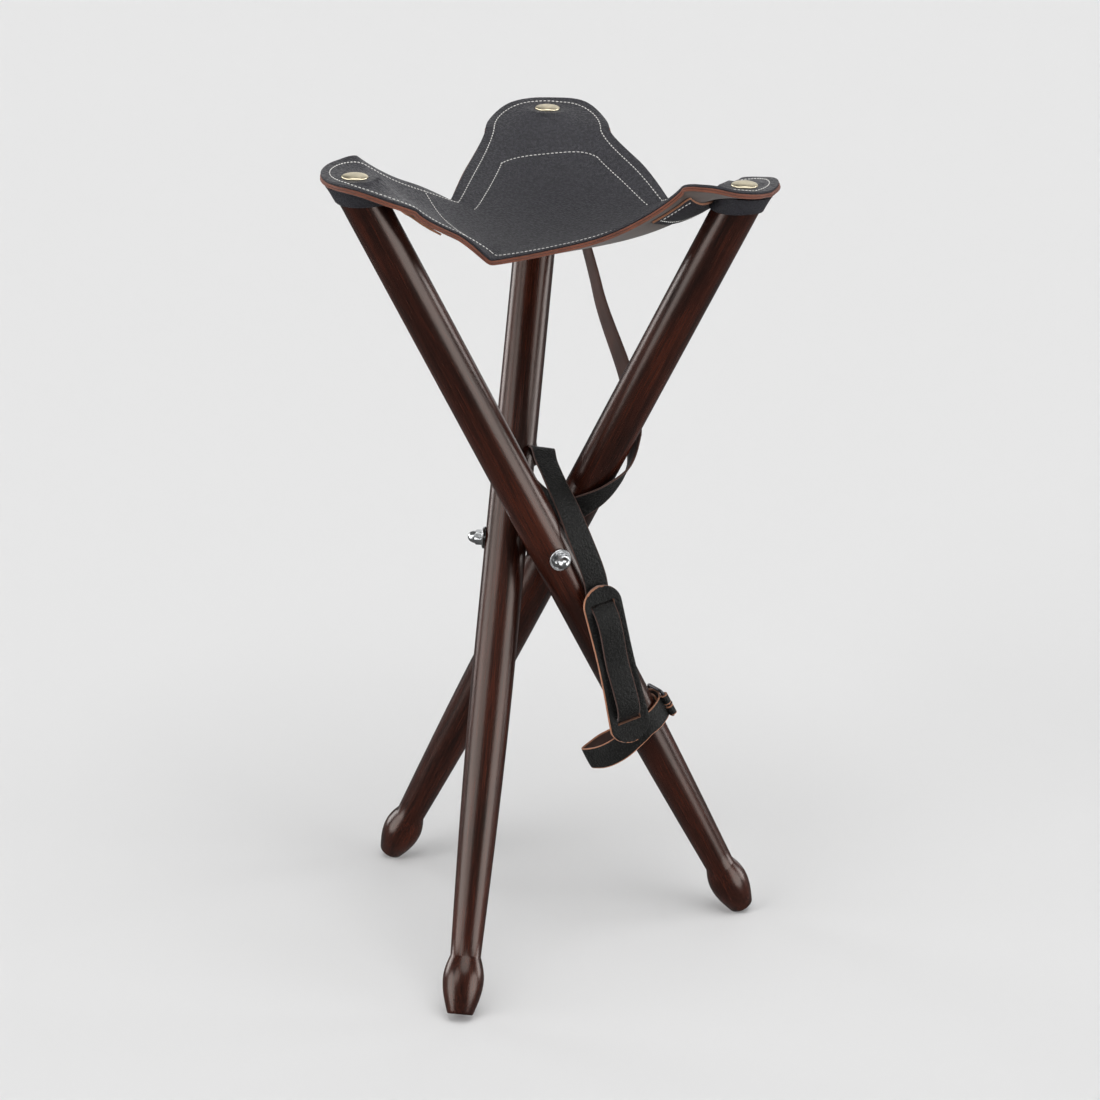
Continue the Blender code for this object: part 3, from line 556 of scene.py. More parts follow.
class STOOL_OT_legs(Operator):
    """Turns the three legs, each with its foot"""
    bl_idname = "stool.legs"
    bl_label = "Legs"

    def execute(self, context):
        wood = context.scene.stool_wood
        sides = 72
        rows = 11
        below_top = 0.03
        grain_shift = 1.7
        angles = [2 * pi * i / sides for i in range(sides)]
        for index, leg in enumerate(LEGS):
            rings = [circle(radius, height, sides) for radius, height in leg_profile(wood)]
            straight = LEG_ABOVE - below_top + wood.taper_start
            for i in range(1, rows + 1):
                rings.append(circle(wood.radius, -wood.taper_start + straight * i / rows, sides))
            rings.append([level_point(wood.radius, angle, 0) for angle in angles])
            place = leg_frame(leg)
            obj = piece(f"{leg}_turned_leg", *stacked(moved(place, rings)), ["leg_wood"])
            store_grain(obj, place, grain_shift * index)
            settle(obj, f"{leg}_leg", f"{leg}_leg")
        return {"FINISHED"}


class STOOL_OT_hardware(Operator):
    """Makes the cap nuts and washers on the stud's arms, and finishes the stud"""
    bl_idname = "stool.hardware"
    bl_label = "Hardware"

    def execute(self, context):
        wood = context.scene.stool_wood
        metal = context.scene.stool_metal
        outer_face = CROSS_RADIUS + wood.radius + CLEARANCE
        inner_face = CROSS_RADIUS - wood.radius - metal.washer_thickness - CLEARANCE
        for leg in LEGS:
            place = arm_frame(leg)
            for side, face in (("inner", inner_face), ("outer", outer_face)):
                rings = moved(place, self.washer(metal, face))
                obj = piece(f"{leg}_{side}_plated_washer", *stacked(rings, True), ["bright_zinc"])
                settle(obj, "hub", f"{leg}_{side}_washer")
            rings = self.nut(metal, outer_face + metal.washer_thickness + 2 * CLEARANCE)
            obj = piece(f"{leg}_domed_nut", *stacked(moved(place, rings)), ["bright_zinc"], crease=28)
            settle(obj, "hub", f"{leg}_cap_nut")
        stud = frame["nodes"]["three_way_stud"]
        stud.data.materials.clear()
        stud.data.materials.append(finish_of("bright_zinc"))
        return {"FINISHED"}

    def washer(self, metal, face):
        """Rings round a washer's section, with its edges eased."""
        ease = 0.0003
        hole = 0.0033
        rim = metal.washer_radius
        far = face + metal.washer_thickness
        corners = [(hole, face), (rim - ease, face), (rim, face + ease),
                   (rim, far - ease), (rim - ease, far), (hole, far)]
        return [circle(radius, height, 64, "X") for radius, height in corners]

    def nut(self, metal, face):
        """Rings up a cap nut: a chamfered hexagon, a groove and a dome."""
        sides = 72
        flats = metal.nut_flats / 2
        shoulder = face + 0.0055
        dome = 0.0050
        rise = 0.0065
        lip = 0.0004
        levels = [(face, 0.95), (face + 0.0005, 1.10), (shoulder - 0.0008, 1.10), (shoulder, 0.96)]
        rings = []
        for height, limit in levels:
            ring = []
            for i in range(sides):
                turn = 2 * pi * i / sides
                to_flat = turn % (pi / 3) - pi / 6
                widest = flats * limit * 1.12 if limit > 1 else flats * limit + lip
                radius = min(flats / cos(to_flat), widest)
                ring.append((height, radius * cos(turn), radius * sin(turn)))
            rings.append(ring)
        rings.append(circle(dome, shoulder + 0.0001, sides, "X"))
        steps = 12
        for i in range(steps):
            turn = pi / 2 * i / steps
            rings.append(circle(dome * cos(turn), shoulder + lip + (rise - lip) * sin(turn), sides, "X"))
        return rings


def edge_middle(leg, side):
    """(outwards, across) of the lowest point on the edge at one side of a lobe, and its drop."""
    radius, turn, drop = EDGES[leg][side]
    angle = pi / 3 + side * turn
    return radius * Vector((cos(angle), sin(angle))), drop


def edge_point(leather, leg, side, share):
    """(outwards, across) on a lobe's edge: round its tip, 0 to 1, then down its flank to the low point, 2."""
    centre = TOP_RADIUS + leather.overhang - leather.half_width
    if share < 1:
        turn = pi / 2 * share
        return Vector((centre + leather.half_width * cos(turn), leather.half_width * sin(turn)))
    start = Vector((centre, leather.half_width))
    end, _ = edge_middle(leg, side)
    pull_start = start - Vector((FLANK_PULL_TIP, 0))
    pull_end = end + FLANK_PULL_MIDDLE * Vector((sin(pi / 3), -cos(pi / 3)))
    done = share - 1
    left = 1 - done
    bend = 3 * left * done * (left * pull_start + done * pull_end)
    return left ** 3 * start + bend + done ** 3 * end


def bend_radius(wood):
    """How far from the centre the leather bends down off a leg's pocket."""
    collar = wood.radius + CLEARANCE + POCKET_WALL
    return TOP_RADIUS - collar / cos(SPLAY) - CLEARANCE


def edge_share(leather, leg, side, outwards):
    """Where along its edge a lobe is a distance from the centre, outwards."""
    low, high = 0.0, 2.0
    for _ in range(40):
        middle = (low + high) / 2
        if edge_point(leather, leg, side, middle).x > outwards:
            low = middle
        else:
            high = middle
    return low


def side_drop(leg, side, share):
    """How far a lobe's edge hangs below its nail, on a smooth curve through its known drops."""
    drops = (TIP_DROPS[leg], *SIDE_DROPS[leg][side], EDGES[leg][side][2])
    last = len(drops) - 1
    slopes = [0.0]
    for i in range(1, last):
        slopes.append((drops[i + 1] - drops[i - 1]) / (SIDE_SHARES[i + 1] - SIDE_SHARES[i - 1]))
    slopes.append(0.0)
    i = min(last - 1, sum(1 for start in SIDE_SHARES[1:] if share >= start))
    span = SIDE_SHARES[i + 1] - SIDE_SHARES[i]
    t = (share - SIDE_SHARES[i]) / span
    rise = (drops[i + 1] - drops[i]) * t ** 2 * (3 - 2 * t)
    return drops[i] + rise + span * t * (1 - t) * (slopes[i] * (1 - t) - slopes[i + 1] * t)


def edge_rows(leather, wood, leg, side):
    """Rows down one edge of a lobe, from its tip: (edge point, middle-line x, middle drop, edge drop)."""
    bend = bend_radius(wood)
    first = edge_share(leather, leg, side, bend)
    tip = TOP_RADIUS + leather.overhang
    rows = []
    for i in range(TIP_ROWS):
        x = bend + (tip - bend) * (1 - (i / TIP_ROWS) ** 2)
        share = edge_share(leather, leg, side, x) if i else 0.0
        past_nail = max(0.0, (x - TOP_RADIUS) / leather.overhang)
        rows.append((edge_point(leather, leg, side, share), x, TIP_DROPS[leg] * past_nail ** 1.5,
                     side_drop(leg, side, share)))
    for i in range(PANEL_ROWS + 1):
        down = i / PANEL_ROWS
        share = first + (2 - first) * down
        middle_drop = leather.centre_drop * (1 - (1 - down) ** RIB_SAG_POWER)
        rows.append((edge_point(leather, leg, side, share), bend * (1 - down), middle_drop,
                     side_drop(leg, side, share)))
    return rows


def lobe_grid(leather, wood, leg):
    """A lobe's upper face as a grid of points, from its rounded tip to the lines where lobes meet."""
    sides = {side: edge_rows(leather, wood, leg, side) for side in (-1, 1)}
    place = lobe_frame(leg)
    top = TOP_HEIGHT + leather.lining_ply + leather.top_ply + 2 * CLEARANCE
    grid = []
    for i in range(len(sides[1])):
        row = []
        for j in range(-HALF_COLUMNS, HALF_COLUMNS + 1):
            edge, middle, middle_drop, edge_drop = sides[1 if j >= 0 else -1][i]
            share = abs(j) / HALF_COLUMNS
            x = middle + (edge.x - middle) * share
            y = (1 if j >= 0 else -1) * edge.y * share
            past_nail = (x - TOP_RADIUS) / (LEVEL_STRETCH * leather.level)
            level = min(LEVEL_SHARE * edge.y, leather.level * max(0.0, 1 - past_nail ** 2))
            hangs = max(0.0, abs(y) - level) / max(edge.y - level, 1e-6)
            drop = middle_drop + (edge_drop - middle_drop) * hangs ** SIDE_SAG_POWER
            row.append(place @ Vector((x, y, top - drop)))
        grid.append(row)
    return grid


def smooth_seat(grids, level):
    """Rounds the folds between the lobes, and returns points and normals by lobe, row and column.

    The outer edges and the level places round the nails stay. Each round moves a point part of the way to
    where the slope of the leather round it would put it.
    """
    rounds = 140
    part = 0.5
    held_share = 0.85
    shape = np.array([[[tuple(p) for p in row] for row in grid] for grid in grids])
    lobes, rows, columns = shape.shape[:3]
    flat = shape.reshape(-1, 3)
    _, first, index = np.unique(np.round(flat[:, :2], 6), axis=0, return_index=True, return_inverse=True)
    index = index.ravel()
    points = flat[first].copy()
    number = index.reshape(lobes, rows, columns)
    a = number[:, :-1, :-1].ravel()
    b = number[:, :-1, 1:].ravel()
    c = number[:, 1:, 1:].ravel()
    d = number[:, 1:, :-1].ravel()
    pairs = np.concatenate([np.stack(pair, 1) for pair in ((a, b), (b, c), (c, d), (d, a))])
    pairs = np.sort(pairs[pairs[:, 0] != pairs[:, 1]], axis=1)
    edges, uses = np.unique(pairs, axis=0, return_counts=True)
    held = np.zeros(len(points), bool)
    held[edges[uses == 1].ravel()] = True
    for leg in LEGS:
        nail = lobe_frame(leg) @ Vector((TOP_RADIUS, 0, 0))
        held |= np.hypot(points[:, 0] - nail.x, points[:, 1] - nail.y) < held_share * level
    start, stop = np.concatenate([edges, edges[:, ::-1]]).T
    dx, dy = (points[stop] - points[start])[:, :2].T

    def total(values):
        return np.bincount(start, values, len(points))

    count = total(np.ones(len(start)))
    xx, xy, yy = total(dx * dx), total(dx * dy), total(dy * dy)
    for _ in range(rounds):
        dz = points[stop, 2] - points[start, 2]
        xz, yz = total(dx * dz), total(dy * dz)
        slope_x = (yy * xz - xy * yz) / (xx * yy - xy * xy)
        slope_y = (xx * yz - xy * xz) / (xx * yy - xy * xy)
        step = (total(dz) - slope_x * total(dx) - slope_y * total(dy)) / count
        points[~held, 2] += part * step[~held]
    normals = np.zeros_like(points)
    for one, two, three in ((a, b, c), (a, c, d)):
        across = np.cross(points[two] - points[one], points[three] - points[one])
        across *= np.sign(across[:, 2:3])
        for corner in (one, two, three):
            np.add.at(normals, corner, across)
    normals /= np.linalg.norm(normals, axis=1, keepdims=True)
    return points[index].reshape(shape.shape), normals[index].reshape(shape.shape)


SEAT = {}


def seat_surface():
    """The seat's upper face, worked out once: points, normals and a tree for putting things on it."""
    if not SEAT:
        leather = bpy.context.scene.stool_leather
        wood = bpy.context.scene.stool_wood
        points, normals = smooth_seat([lobe_grid(leather, wood, leg) for leg in LEGS], leather.level)
        SEAT["points"] = {leg: points[i] for i, leg in enumerate(LEGS)}
        SEAT["normals"] = {leg: normals[i] for i, leg in enumerate(LEGS)}
        verts = [Vector(p) for p in points.reshape(-1, 3)]
        rows, columns = points.shape[1:3]
        faces = []
        for lobe in range(len(LEGS)):
            for i in range(rows - 1):
                for j in range(columns - 1):
                    corner = (lobe * rows + i) * columns + j
                    faces.append((corner, corner + 1, corner + columns + 1, corner + columns))
        SEAT["tree"] = BVHTree.FromPolygons(verts, faces)
    return SEAT


def on_seat(x, y, depth=0.0):
    """A point on the seat's upper face over a place on the floor, or a depth below it, and its normal."""
    tree = seat_surface()["tree"]
    start = Vector((x, y, 2.0))
    hit, normal, _, _ = tree.ray_cast(start, Vector((0, 0, -1)))
    if hit is None:
        hit, normal, _, _ = tree.find_nearest(Vector((x, y, TOP_HEIGHT)))
    if normal.z < 0:
        normal = -normal
    return hit - depth * normal, normal


def ply(name, leg, top, thick, rim_steps, finishes, proud):
    """One ply of a lobe as a closed sheet with a rounded cut edge, a depth below the seat's upper face."""
    surface = seat_surface()
    points = surface["points"][leg]
    normals = surface["normals"][leg]
    upper = points - top * normals
    lower = points - (top + thick) * normals
    rows, columns = points.shape[:2]
    rings = []
    for i in range(rows):
        ring = [Vector(p) for p in upper[i]]
        for edge in (columns - 1, 0):
            high = Vector(upper[i, edge])
            low = Vector(lower[i, edge])
            before = Vector(upper[max(i - 1, 0), edge])
            after = Vector(upper[min(i + 1, rows - 1), edge])
            along = after - before if i else Vector(upper[1, 0]) - Vector(upper[1, columns - 1])
            out = along.cross(high - low).normalized()
            if out.dot(high - Vector(points[min(i + 6, rows - 1), columns // 2])) < 0:
                out = -out
            rim = []
            for step, bulge in rim_steps:
                rim.append(high.lerp(low, step) + out * proud * bulge)
            if edge:
                ring += rim
                ring += [Vector(p) for p in lower[i][::-1]]
            else:
                ring += rim[::-1]
        rings.append(ring)
    count = len(rings[0])
    verts = [point for ring in rings for point in ring]
    faces = []
    picks = []
    rim_count = len(rim_steps)
    for i in range(rows - 1):
        for j in range(count):
            k = (j + 1) % count
            faces.append((i * count + j, i * count + k, (i + 1) * count + k, (i + 1) * count + j))
            on_rim = columns - 1 <= j < columns + rim_count or j >= 2 * columns + rim_count - 1
            picks.append(1 if on_rim else 0)
    last = (rows - 1) * count
    for j in range(columns - 1):
        below = last + 2 * columns + rim_count - 1 - j
        faces.append((last + j, last + j + 1, below - 1, below))
        picks.append(0)
    right = [last + columns - 1 + j for j in range(rim_count + 2)]
    left = [last + 2 * columns + rim_count - 1 + j for j in range(rim_count + 1)] + [last]
    faces += [tuple(right), tuple(left)]
    picks += [1, 1]
    return piece(name, verts, faces, finishes, picks, crease=50)


def hang(obj, leg):
    """Bakes a seat piece's placement into its mesh."""
    place = lobe_frame(leg)
    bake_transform(obj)


class STOOL_OT_seat(Operator):
    """Drapes the seat: black leather over a brown lining, one lobe for each leg"""
    bl_idname = "stool.seat"
    bl_label = "Seat"

    def execute(self, context):
        leather = context.scene.stool_leather
        plain = [(0.12, 0.6), (0.35, 1.0), (0.65, 1.0), (0.88, 0.6)]
        double = [(0.06, 0.7), (0.22, 1.0), (0.42, 0.8), (0.50, -0.1), (0.58, 0.8), (0.80, 1.0), (0.94, 0.7)]
        low = leather.top_ply + CLEARANCE
        for leg in LEGS:
            top = ply(f"{leg}_seat_leather", leg, 0.0, leather.top_ply, plain,
                      ["seat_leather", "pocket_leather"], proud=0.0004)
            lining = ply(f"{leg}_seat_lining", leg, low, leather.lining_ply, double,
                         ["lining_leather", "lining_edge"], proud=0.0008)
            for obj, part, slot in ((top, "seat", "black_leather"), (lining, "lining", "brown_leather")):
                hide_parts(f"{part}_{leg}_corner", f"{part}_{leg}_panel")
                self.declare(obj, leg)
                hang(obj, leg)
        return {"FINISHED"}

    def declare(self, obj, leg):
        """Works out cross products over each cell of a lobe's grid, and keeps none of them."""
        grid = seat_surface()["points"][leg]
        first = np.cross(grid[1:, :-1] - grid[:-1, :-1], grid[:-1, 1:] - grid[:-1, :-1])
        second = np.cross(grid[1:, :-1] - grid[1:, 1:], grid[:-1, 1:] - grid[1:, 1:])


class STOOL_OT_pockets(Operator):
    """Makes the leather pockets that hold the leg tops, and their patches under the lining"""
    bl_idname = "stool.pockets"
    bl_label = "Pockets"

    def execute(self, context):
        wood = context.scene.stool_wood
        leather = context.scene.stool_leather
        sides = 64
        ripple, ripple_below = 0.0004, -0.008
        inner = wood.radius + POCKET_PLAY
        for leg in LEGS:
            place = leg_frame(leg)
            section = [(0.0, -0.0004), (0.0, -0.0128), (0.0005, -0.0133), (0.0014, -0.0133),
                       (0.0018, -0.0127), (0.0019, -0.009), (0.0021, -0.005), (0.0024, -0.0018),
                       (0.0027, -0.0004)]
            rings = []
            for wall, height in section:
                ring = []
                for i in range(sides):
                    angle = 2 * pi * i / sides
                    wave = ripple * sin(3 * angle + 1.0) * (height < ripple_below)
                    ring.append(level_point(inner + wall, angle, height + wave))
                rings.append(ring)
            verts, faces = stacked(moved(place, rings), True)
            obj = piece(f"{leg}_pocket_collar", verts, faces, ["pocket_leather"], crease=60)
            settle(obj, f"{leg}_leg", f"{leg}_pocket")
            self.patch(leather, wood, leg)
        return {"FINISHED"}

    def patch(self, leather, wood, leg):
        """The pocket's patch, sewn under the lining."""
        rows, columns = 16, 24
        depth = patch_depth(leather)
        grid = patch_grid(leather, wood, leg, rows, columns)
        upper = [[on_seat(x, y, depth)[0] for x, y in row] for row in grid]
        lower = [[on_seat(x, y, depth + PATCH_PLY)[0] for x, y in row] for row in grid]
        rings = [up + low[::-1] for up, low in zip(upper, lower)]
        verts, faces = stacked(rings)
        count = len(rings[0])
        picks = [1 if j in (columns, count - 1) else 0 for j in range(count)] * rows + [1, 1]
        obj = piece(f"{leg}_sewn_patch", verts, faces, ["pocket_leather", "tan_edge"], picks, crease=50)
        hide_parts(f"{leg}_pocket_patch")
        hang(obj, leg)


def patch_depth(leather):
    """How far below the seat's upper face a pocket's patch lies."""
    return leather.top_ply + leather.lining_ply + 2 * CLEARANCE + PATCH_GAP


def patch_grid(leather, wood, leg, rows, columns, inset=0.0):
    """Floor places under a pocket's patch, in rows from the pocket to its inner end."""
    bend = bend_radius(wood)
    place = lobe_frame(leg)
    grid = []
    for i in range(rows + 1):
        x = bend - PATCH_START - inset - (PATCH_LENGTH - 2 * inset) * i / rows
        reach = {}
        for side in (-1, 1):
            edge = edge_point(leather, leg, side, edge_share(leather, leg, side, x))
            reach[side] = PATCH_SHARE * edge.y - inset
        row = []
        for j in range(columns + 1):
            share = 2 * j / columns - 1
            y = share * reach[1 if share >= 0 else -1]
            spot = place @ Vector((x, y, 0))
            row.append((spot.x, spot.y))
        grid.append(row)
    return grid


class STOOL_OT_nails(Operator):
    """Makes the broad flat nails through the seat's corners"""
    bl_idname = "stool.nails"
    bl_label = "Seat nails"

    def execute(self, context):
        metal = context.scene.stool_metal
        leather = context.scene.stool_leather
        sides = 64
        under = TOP_HEIGHT + leather.lining_ply + leather.top_ply + 3 * CLEARANCE
        shank, point, lip = 0.0018, 0.0006, 0.0004
        point_depth, shank_depth = 0.036, 0.0306
        profile = [(point, under - point_depth), (shank, under - shank_depth), (shank, under - lip),
                   (metal.nail_radius - lip, under - lip), (metal.nail_radius, under)]
        steps = 16
        for i in range(1, steps):
            turn = pi / 2 * i / steps
            profile.append((metal.nail_radius * cos(turn), under + metal.nail_height * sin(turn) ** 0.9))
        for leg in LEGS:
            place = lobe_frame(leg) @ Matrix.Translation((TOP_RADIUS, 0, 0))
            rings = [circle(radius, height, sides) for radius, height in profile]
            obj = piece(f"{leg}_domed_nail", *stacked(moved(place, rings)), ["nail_brass"])
            settle(obj, f"{leg}_leg", f"{leg}_seat_nail")
        return {"FINISHED"}


def stitch_tree():
    """Geometry nodes that lay stitches along a curve: one at each even step, turned along the seam."""
    name = "stitches_along"
    if name in bpy.data.node_groups:
        return bpy.data.node_groups[name]
    tree = bpy.data.node_groups.new(name, "GeometryNodeTree")
    sockets = tree.interface
    sockets.new_socket("Seam", in_out="INPUT", socket_type="NodeSocketGeometry")
    for label in ("Pitch", "Length", "Radius"):
        sockets.new_socket(label, in_out="INPUT", socket_type="NodeSocketFloat")
    sockets.new_socket("Thread", in_out="INPUT", socket_type="NodeSocketMaterial")
    sockets.new_socket("Stitches", in_out="OUTPUT", socket_type="NodeSocketGeometry")

    def add(kind, settings, values):
        made = tree.nodes.new(kind)
        for key, value in settings.items():
            setattr(made, key, value)
        for key, value in values.items():
            if isinstance(value, bpy.types.NodeSocket):
                tree.links.new(value, made.inputs[key])
            else:
                made.inputs[key].default_value = value
        return made.outputs[0]

    given = tree.nodes.new("NodeGroupInput").outputs
    spaced = add("GeometryNodeResampleCurve", {"mode": "LENGTH"},
                 {"Curve": given["Seam"], "Length": given["Pitch"]})
    bead = add("GeometryNodeMeshUVSphere", {}, {"Segments": 6, "Rings": 6, "Radius": 1.0})
    half = add("ShaderNodeMath", {"operation": "MULTIPLY"}, {0: given["Length"], 1: 0.5})
    size = add("ShaderNodeCombineXYZ", {}, {"X": given["Radius"], "Y": given["Radius"], "Z": half})
    shaped = add("GeometryNodeTransform", {}, {"Geometry": bead, "Scale": size})
    tangent = add("GeometryNodeInputTangent", {}, {})
    turn = add("FunctionNodeAlignRotationToVector", {"axis": "Z"}, {"Vector": tangent})
    laid = add("GeometryNodeInstanceOnPoints", {}, {"Points": spaced, "Instance": shaped, "Rotation": turn})
    real = add("GeometryNodeRealizeInstances", {}, {"Geometry": laid})
    dyed = add("GeometryNodeSetMaterial", {}, {"Geometry": real, "Material": given["Thread"]})
    tree.links.new(dyed, tree.nodes.new("NodeGroupOutput").inputs["Stitches"])
    return tree


def sew(name, seams):
    """A plain mesh of stitches along seams, each a list of points."""
    leather = bpy.context.scene.stool_leather
    curve = bpy.data.curves.new(name, "CURVE")
    curve.dimensions = "3D"
    for seam in seams:
        spline = curve.splines.new("POLY")
        spline.points.add(len(seam) - 1)
        for point, spot in zip(spline.points, seam):
            point.co = (*spot, 1.0)
    guide = bpy.data.objects.new(f"{name}_guide", curve)
    bpy.context.scene.collection.objects.link(guide)
    tree = stitch_tree()
    values = {"Pitch": leather.stitch_pitch, "Length": leather.stitch_length,
              "Radius": leather.thread_radius, "Thread": finish_of("sewing_thread")}
    modifier = guide.modifiers.new("stitches", "NODES")
    modifier.node_group = tree
    for item in tree.interface.items_tree:
        if item.in_out == "INPUT" and item.name in values:
            modifier[item.identifier] = values[item.name]
    shown = guide.evaluated_get(bpy.context.evaluated_depsgraph_get())
    mesh = bpy.data.meshes.new_from_object(shown)
    mesh.name = name
    mesh.shade_smooth()
    obj = bpy.data.objects.new(name, mesh)
    bpy.context.scene.collection.objects.link(obj)
    bpy.data.objects.remove(guide)
    return obj


class STOOL_OT_stitches(Operator):
    """Sews the seat: a line inside its edge, the outline of the centre, and the patches below"""
    bl_idname = "stool.stitches"
    bl_label = "Stitches"

    def execute(self, context):
        leather = context.scene.stool_leather
        wood = context.scene.stool_wood
        rows, columns, inset = 14, 24, 0.004
        depth = patch_depth(leather) + PATCH_PLY
        for leg in LEGS:
            seams = [self.edge_seam(leather, wood, leg)]
            seams += self.centre_seams(leather, wood, leg)
            obj = sew(f"{leg}_seat_stitches", seams)
            hang(obj, leg)
            grid = patch_grid(leather, wood, leg, rows, columns, inset)
            around = [row[0] for row in grid] + grid[-1][1:] + [row[-1] for row in grid[-2::-1]]
            obj = sew(f"{leg}_patch_stitches", [[on_seat(x, y, depth)[0] for x, y in around]])
            hang(obj, leg)
        return {"FINISHED"}

    def inset_edge(self, leather, wood, leg, side, inset):
        """Floor places a distance inside one edge of a lobe, from its tip to its lowest point."""
        rows = edge_rows(leather, wood, leg, side)
        well_inside = Vector((0.11, 0))
        spots = []
        for i, (point, _, _, _) in enumerate(rows):
            after = rows[min(i + 1, len(rows) - 1)][0]
            before = rows[max(i - 1, 0)][0]
            along = (after - before).normalized() if i else Vector((0, 1))
            inward = Vector((-along.y, along.x))
            if inward.dot(well_inside - point) < 0:
                inward = -inward
            spots.append(point + inset * inward)
        return [(spot.x, side * spot.y) for spot in spots]

    def on_top(self, leg, line):
        """A seam on the seat's upper face, from places outwards and across a lobe."""
        place = lobe_frame(leg)
        spots = [place @ Vector((x, y, 0)) for x, y in line]
        return [on_seat(spot.x, spot.y, -THREAD_LIFT)[0] for spot in spots]

    def edge_seam(self, leather, wood, leg):
        """The line inside a lobe's edge, up one side, round its tip and down the other."""
        one = self.inset_edge(leather, wood, leg, 1, leather.stitch_inset)
        other = self.inset_edge(leather, wood, leg, -1, leather.stitch_inset)
        return self.on_top(leg, one[::-1] + other[1:])

    def centre_seams(self, leather, wood, leg):
        """The outline of the piece sewn under the centre: across each lobe, and down the rear one's sides."""
        inset = REAR_CENTRE_INSET if leg == "rear" else leather.stitch_inset
        runs = []
        for side in (1, -1):
            far = CENTRE_REACH[leg][side]
            spots = self.inset_edge(leather, wood, leg, side, inset)
            runs.append([spot for spot in spots if spot[0] < far])
        (one_x, one_y), (other_x, other_y) = runs[0][0], runs[1][0]
        across = []
        steps = 40
        for i in range(steps + 1):
            share = i / steps
            bow = CENTRE_BOW[leg] * (1 - abs(2 * share - 1) ** 4)
            across.append((one_x + (other_x - one_x) * share + bow, one_y + (other_y - one_y) * share))
        lines = (across, *runs) if leg == "rear" else (across,)
        return [self.on_top(leg, line) for line in lines]


def round_leg(leg, up, angle, radius):
    """A place on a strap wound round a leg: its point, and the way its face looks."""
    place = leg_frame(leg)
    facing = Vector((cos(radians(angle)), sin(radians(angle)), 0))
    return place @ (radius * facing + Vector((0, 0, up))), place.to_3x3() @ facing


def wound_round(leg, start, end, angles, spare):
    """Places on a strap that climbs evenly round a leg, off it by the given shares of the strap's slack."""
    strap = bpy.context.scene.stool_strap
    wood = bpy.context.scene.stool_wood
    places = []
    for angle, share in zip(angles, spare):
        up = start + (end - start) * (angle - angles[0]) / (angles[-1] - angles[0])
        places.append(round_leg(leg, up, angle, wood.radius + strap.thickness / 2 + strap.slack * share))
    return places


def free(x, y, z, facing):
    """A place on a strap between legs, from the crossing, in shares of the leg's upper length."""
    return HUB + LEG_ABOVE * Vector((x, y, z)), Vector(facing).normalized()


def smooth_route(places, step=0.0025):
    """Points and facings along a smooth curve through a strap's places."""
    points = [point for point, _ in places]
    spans = [b - a for a, b in zip(points, points[1:])]
    headings = [spans[0].normalized()]
    for a, b in zip(spans, spans[1:]):
        headings.append((a * b.length / a.length + b * a.length / b.length) / (a.length + b.length))
    headings.append(spans[-1].normalized())
    route = []
    for i, span in enumerate(spans):
        start, end = headings[i] * span.length, headings[i + 1] * span.length
        count = max(2, ceil(span.length / step))
        for j in range(count):
            t = j / count
            point = points[i] + span * t ** 2 * (3 - 2 * t)
            point = point + start * t * (1 - t) ** 2 - end * t ** 2 * (1 - t)
            route.append((point, places[i][1].lerp(places[i + 1][1], t)))
    route.append(places[-1])
    return route


def ribbon(route, width, thick):
    """Rings round a strap along a route: five points on each face and a rounded edge between."""
    rings = []
    half, rise = width / 2, thick / 2
    ease = 0.4 * thick
    section = []
    for share in (-1.0, -0.5, 0.0, 0.5, 1.0):
        section.append((share * (half - ease), rise - 0.15 * thick * abs(share) ** 3))
    section += [(half - 0.15 * ease, 0.5 * rise), (half, 0.0), (half - 0.15 * ease, -0.6 * rise)]
    for share in (1.0, 0.5, 0.0, -0.5, -1.0):
        section.append((share * (half - ease), -rise))
    section += [(-half + 0.15 * ease, -0.6 * rise), (-half, 0.0), (-half + 0.15 * ease, 0.5 * rise)]
    for i, (point, facing) in enumerate(route):
        before = route[max(i - 1, 0)][0]
        after = route[min(i + 1, len(route) - 1)][0]
        along = (after - before).normalized()
        across = along.cross(facing).normalized()
        out = across.cross(along)
        rings.append([point + across * y + out * z for y, z in section])
    return rings


def strap_piece(name, rings, edge="strap_edge"):
    """A strap's mesh: black grain outside, suede inside, brown cut edges and ends."""
    verts, faces = stacked(rings)
    count = len(rings[0])
    picks = []
    for _ in range(len(rings) - 1):
        for j in range(count):
            picks.append(0 if j < 4 else 2 if 8 <= j < 12 else 1)
    picks += [1, 1]
    obj = piece(name, verts, faces, ["strap_leather", edge, "strap_suede"], picks, crease=50)
    return obj


def pad_frame():
    """The shoulder pad's frame: Z down the pad from its top, X out of its face."""
    down = Vector((0, -sin(PAD_TILT), -cos(PAD_TILT)))
    out = Vector((1, 0, 0))
    place = Matrix((out, down.cross(out), down)).transposed().to_4x4()
    place.translation = PAD_TOP
    return leg_frame("left") @ place


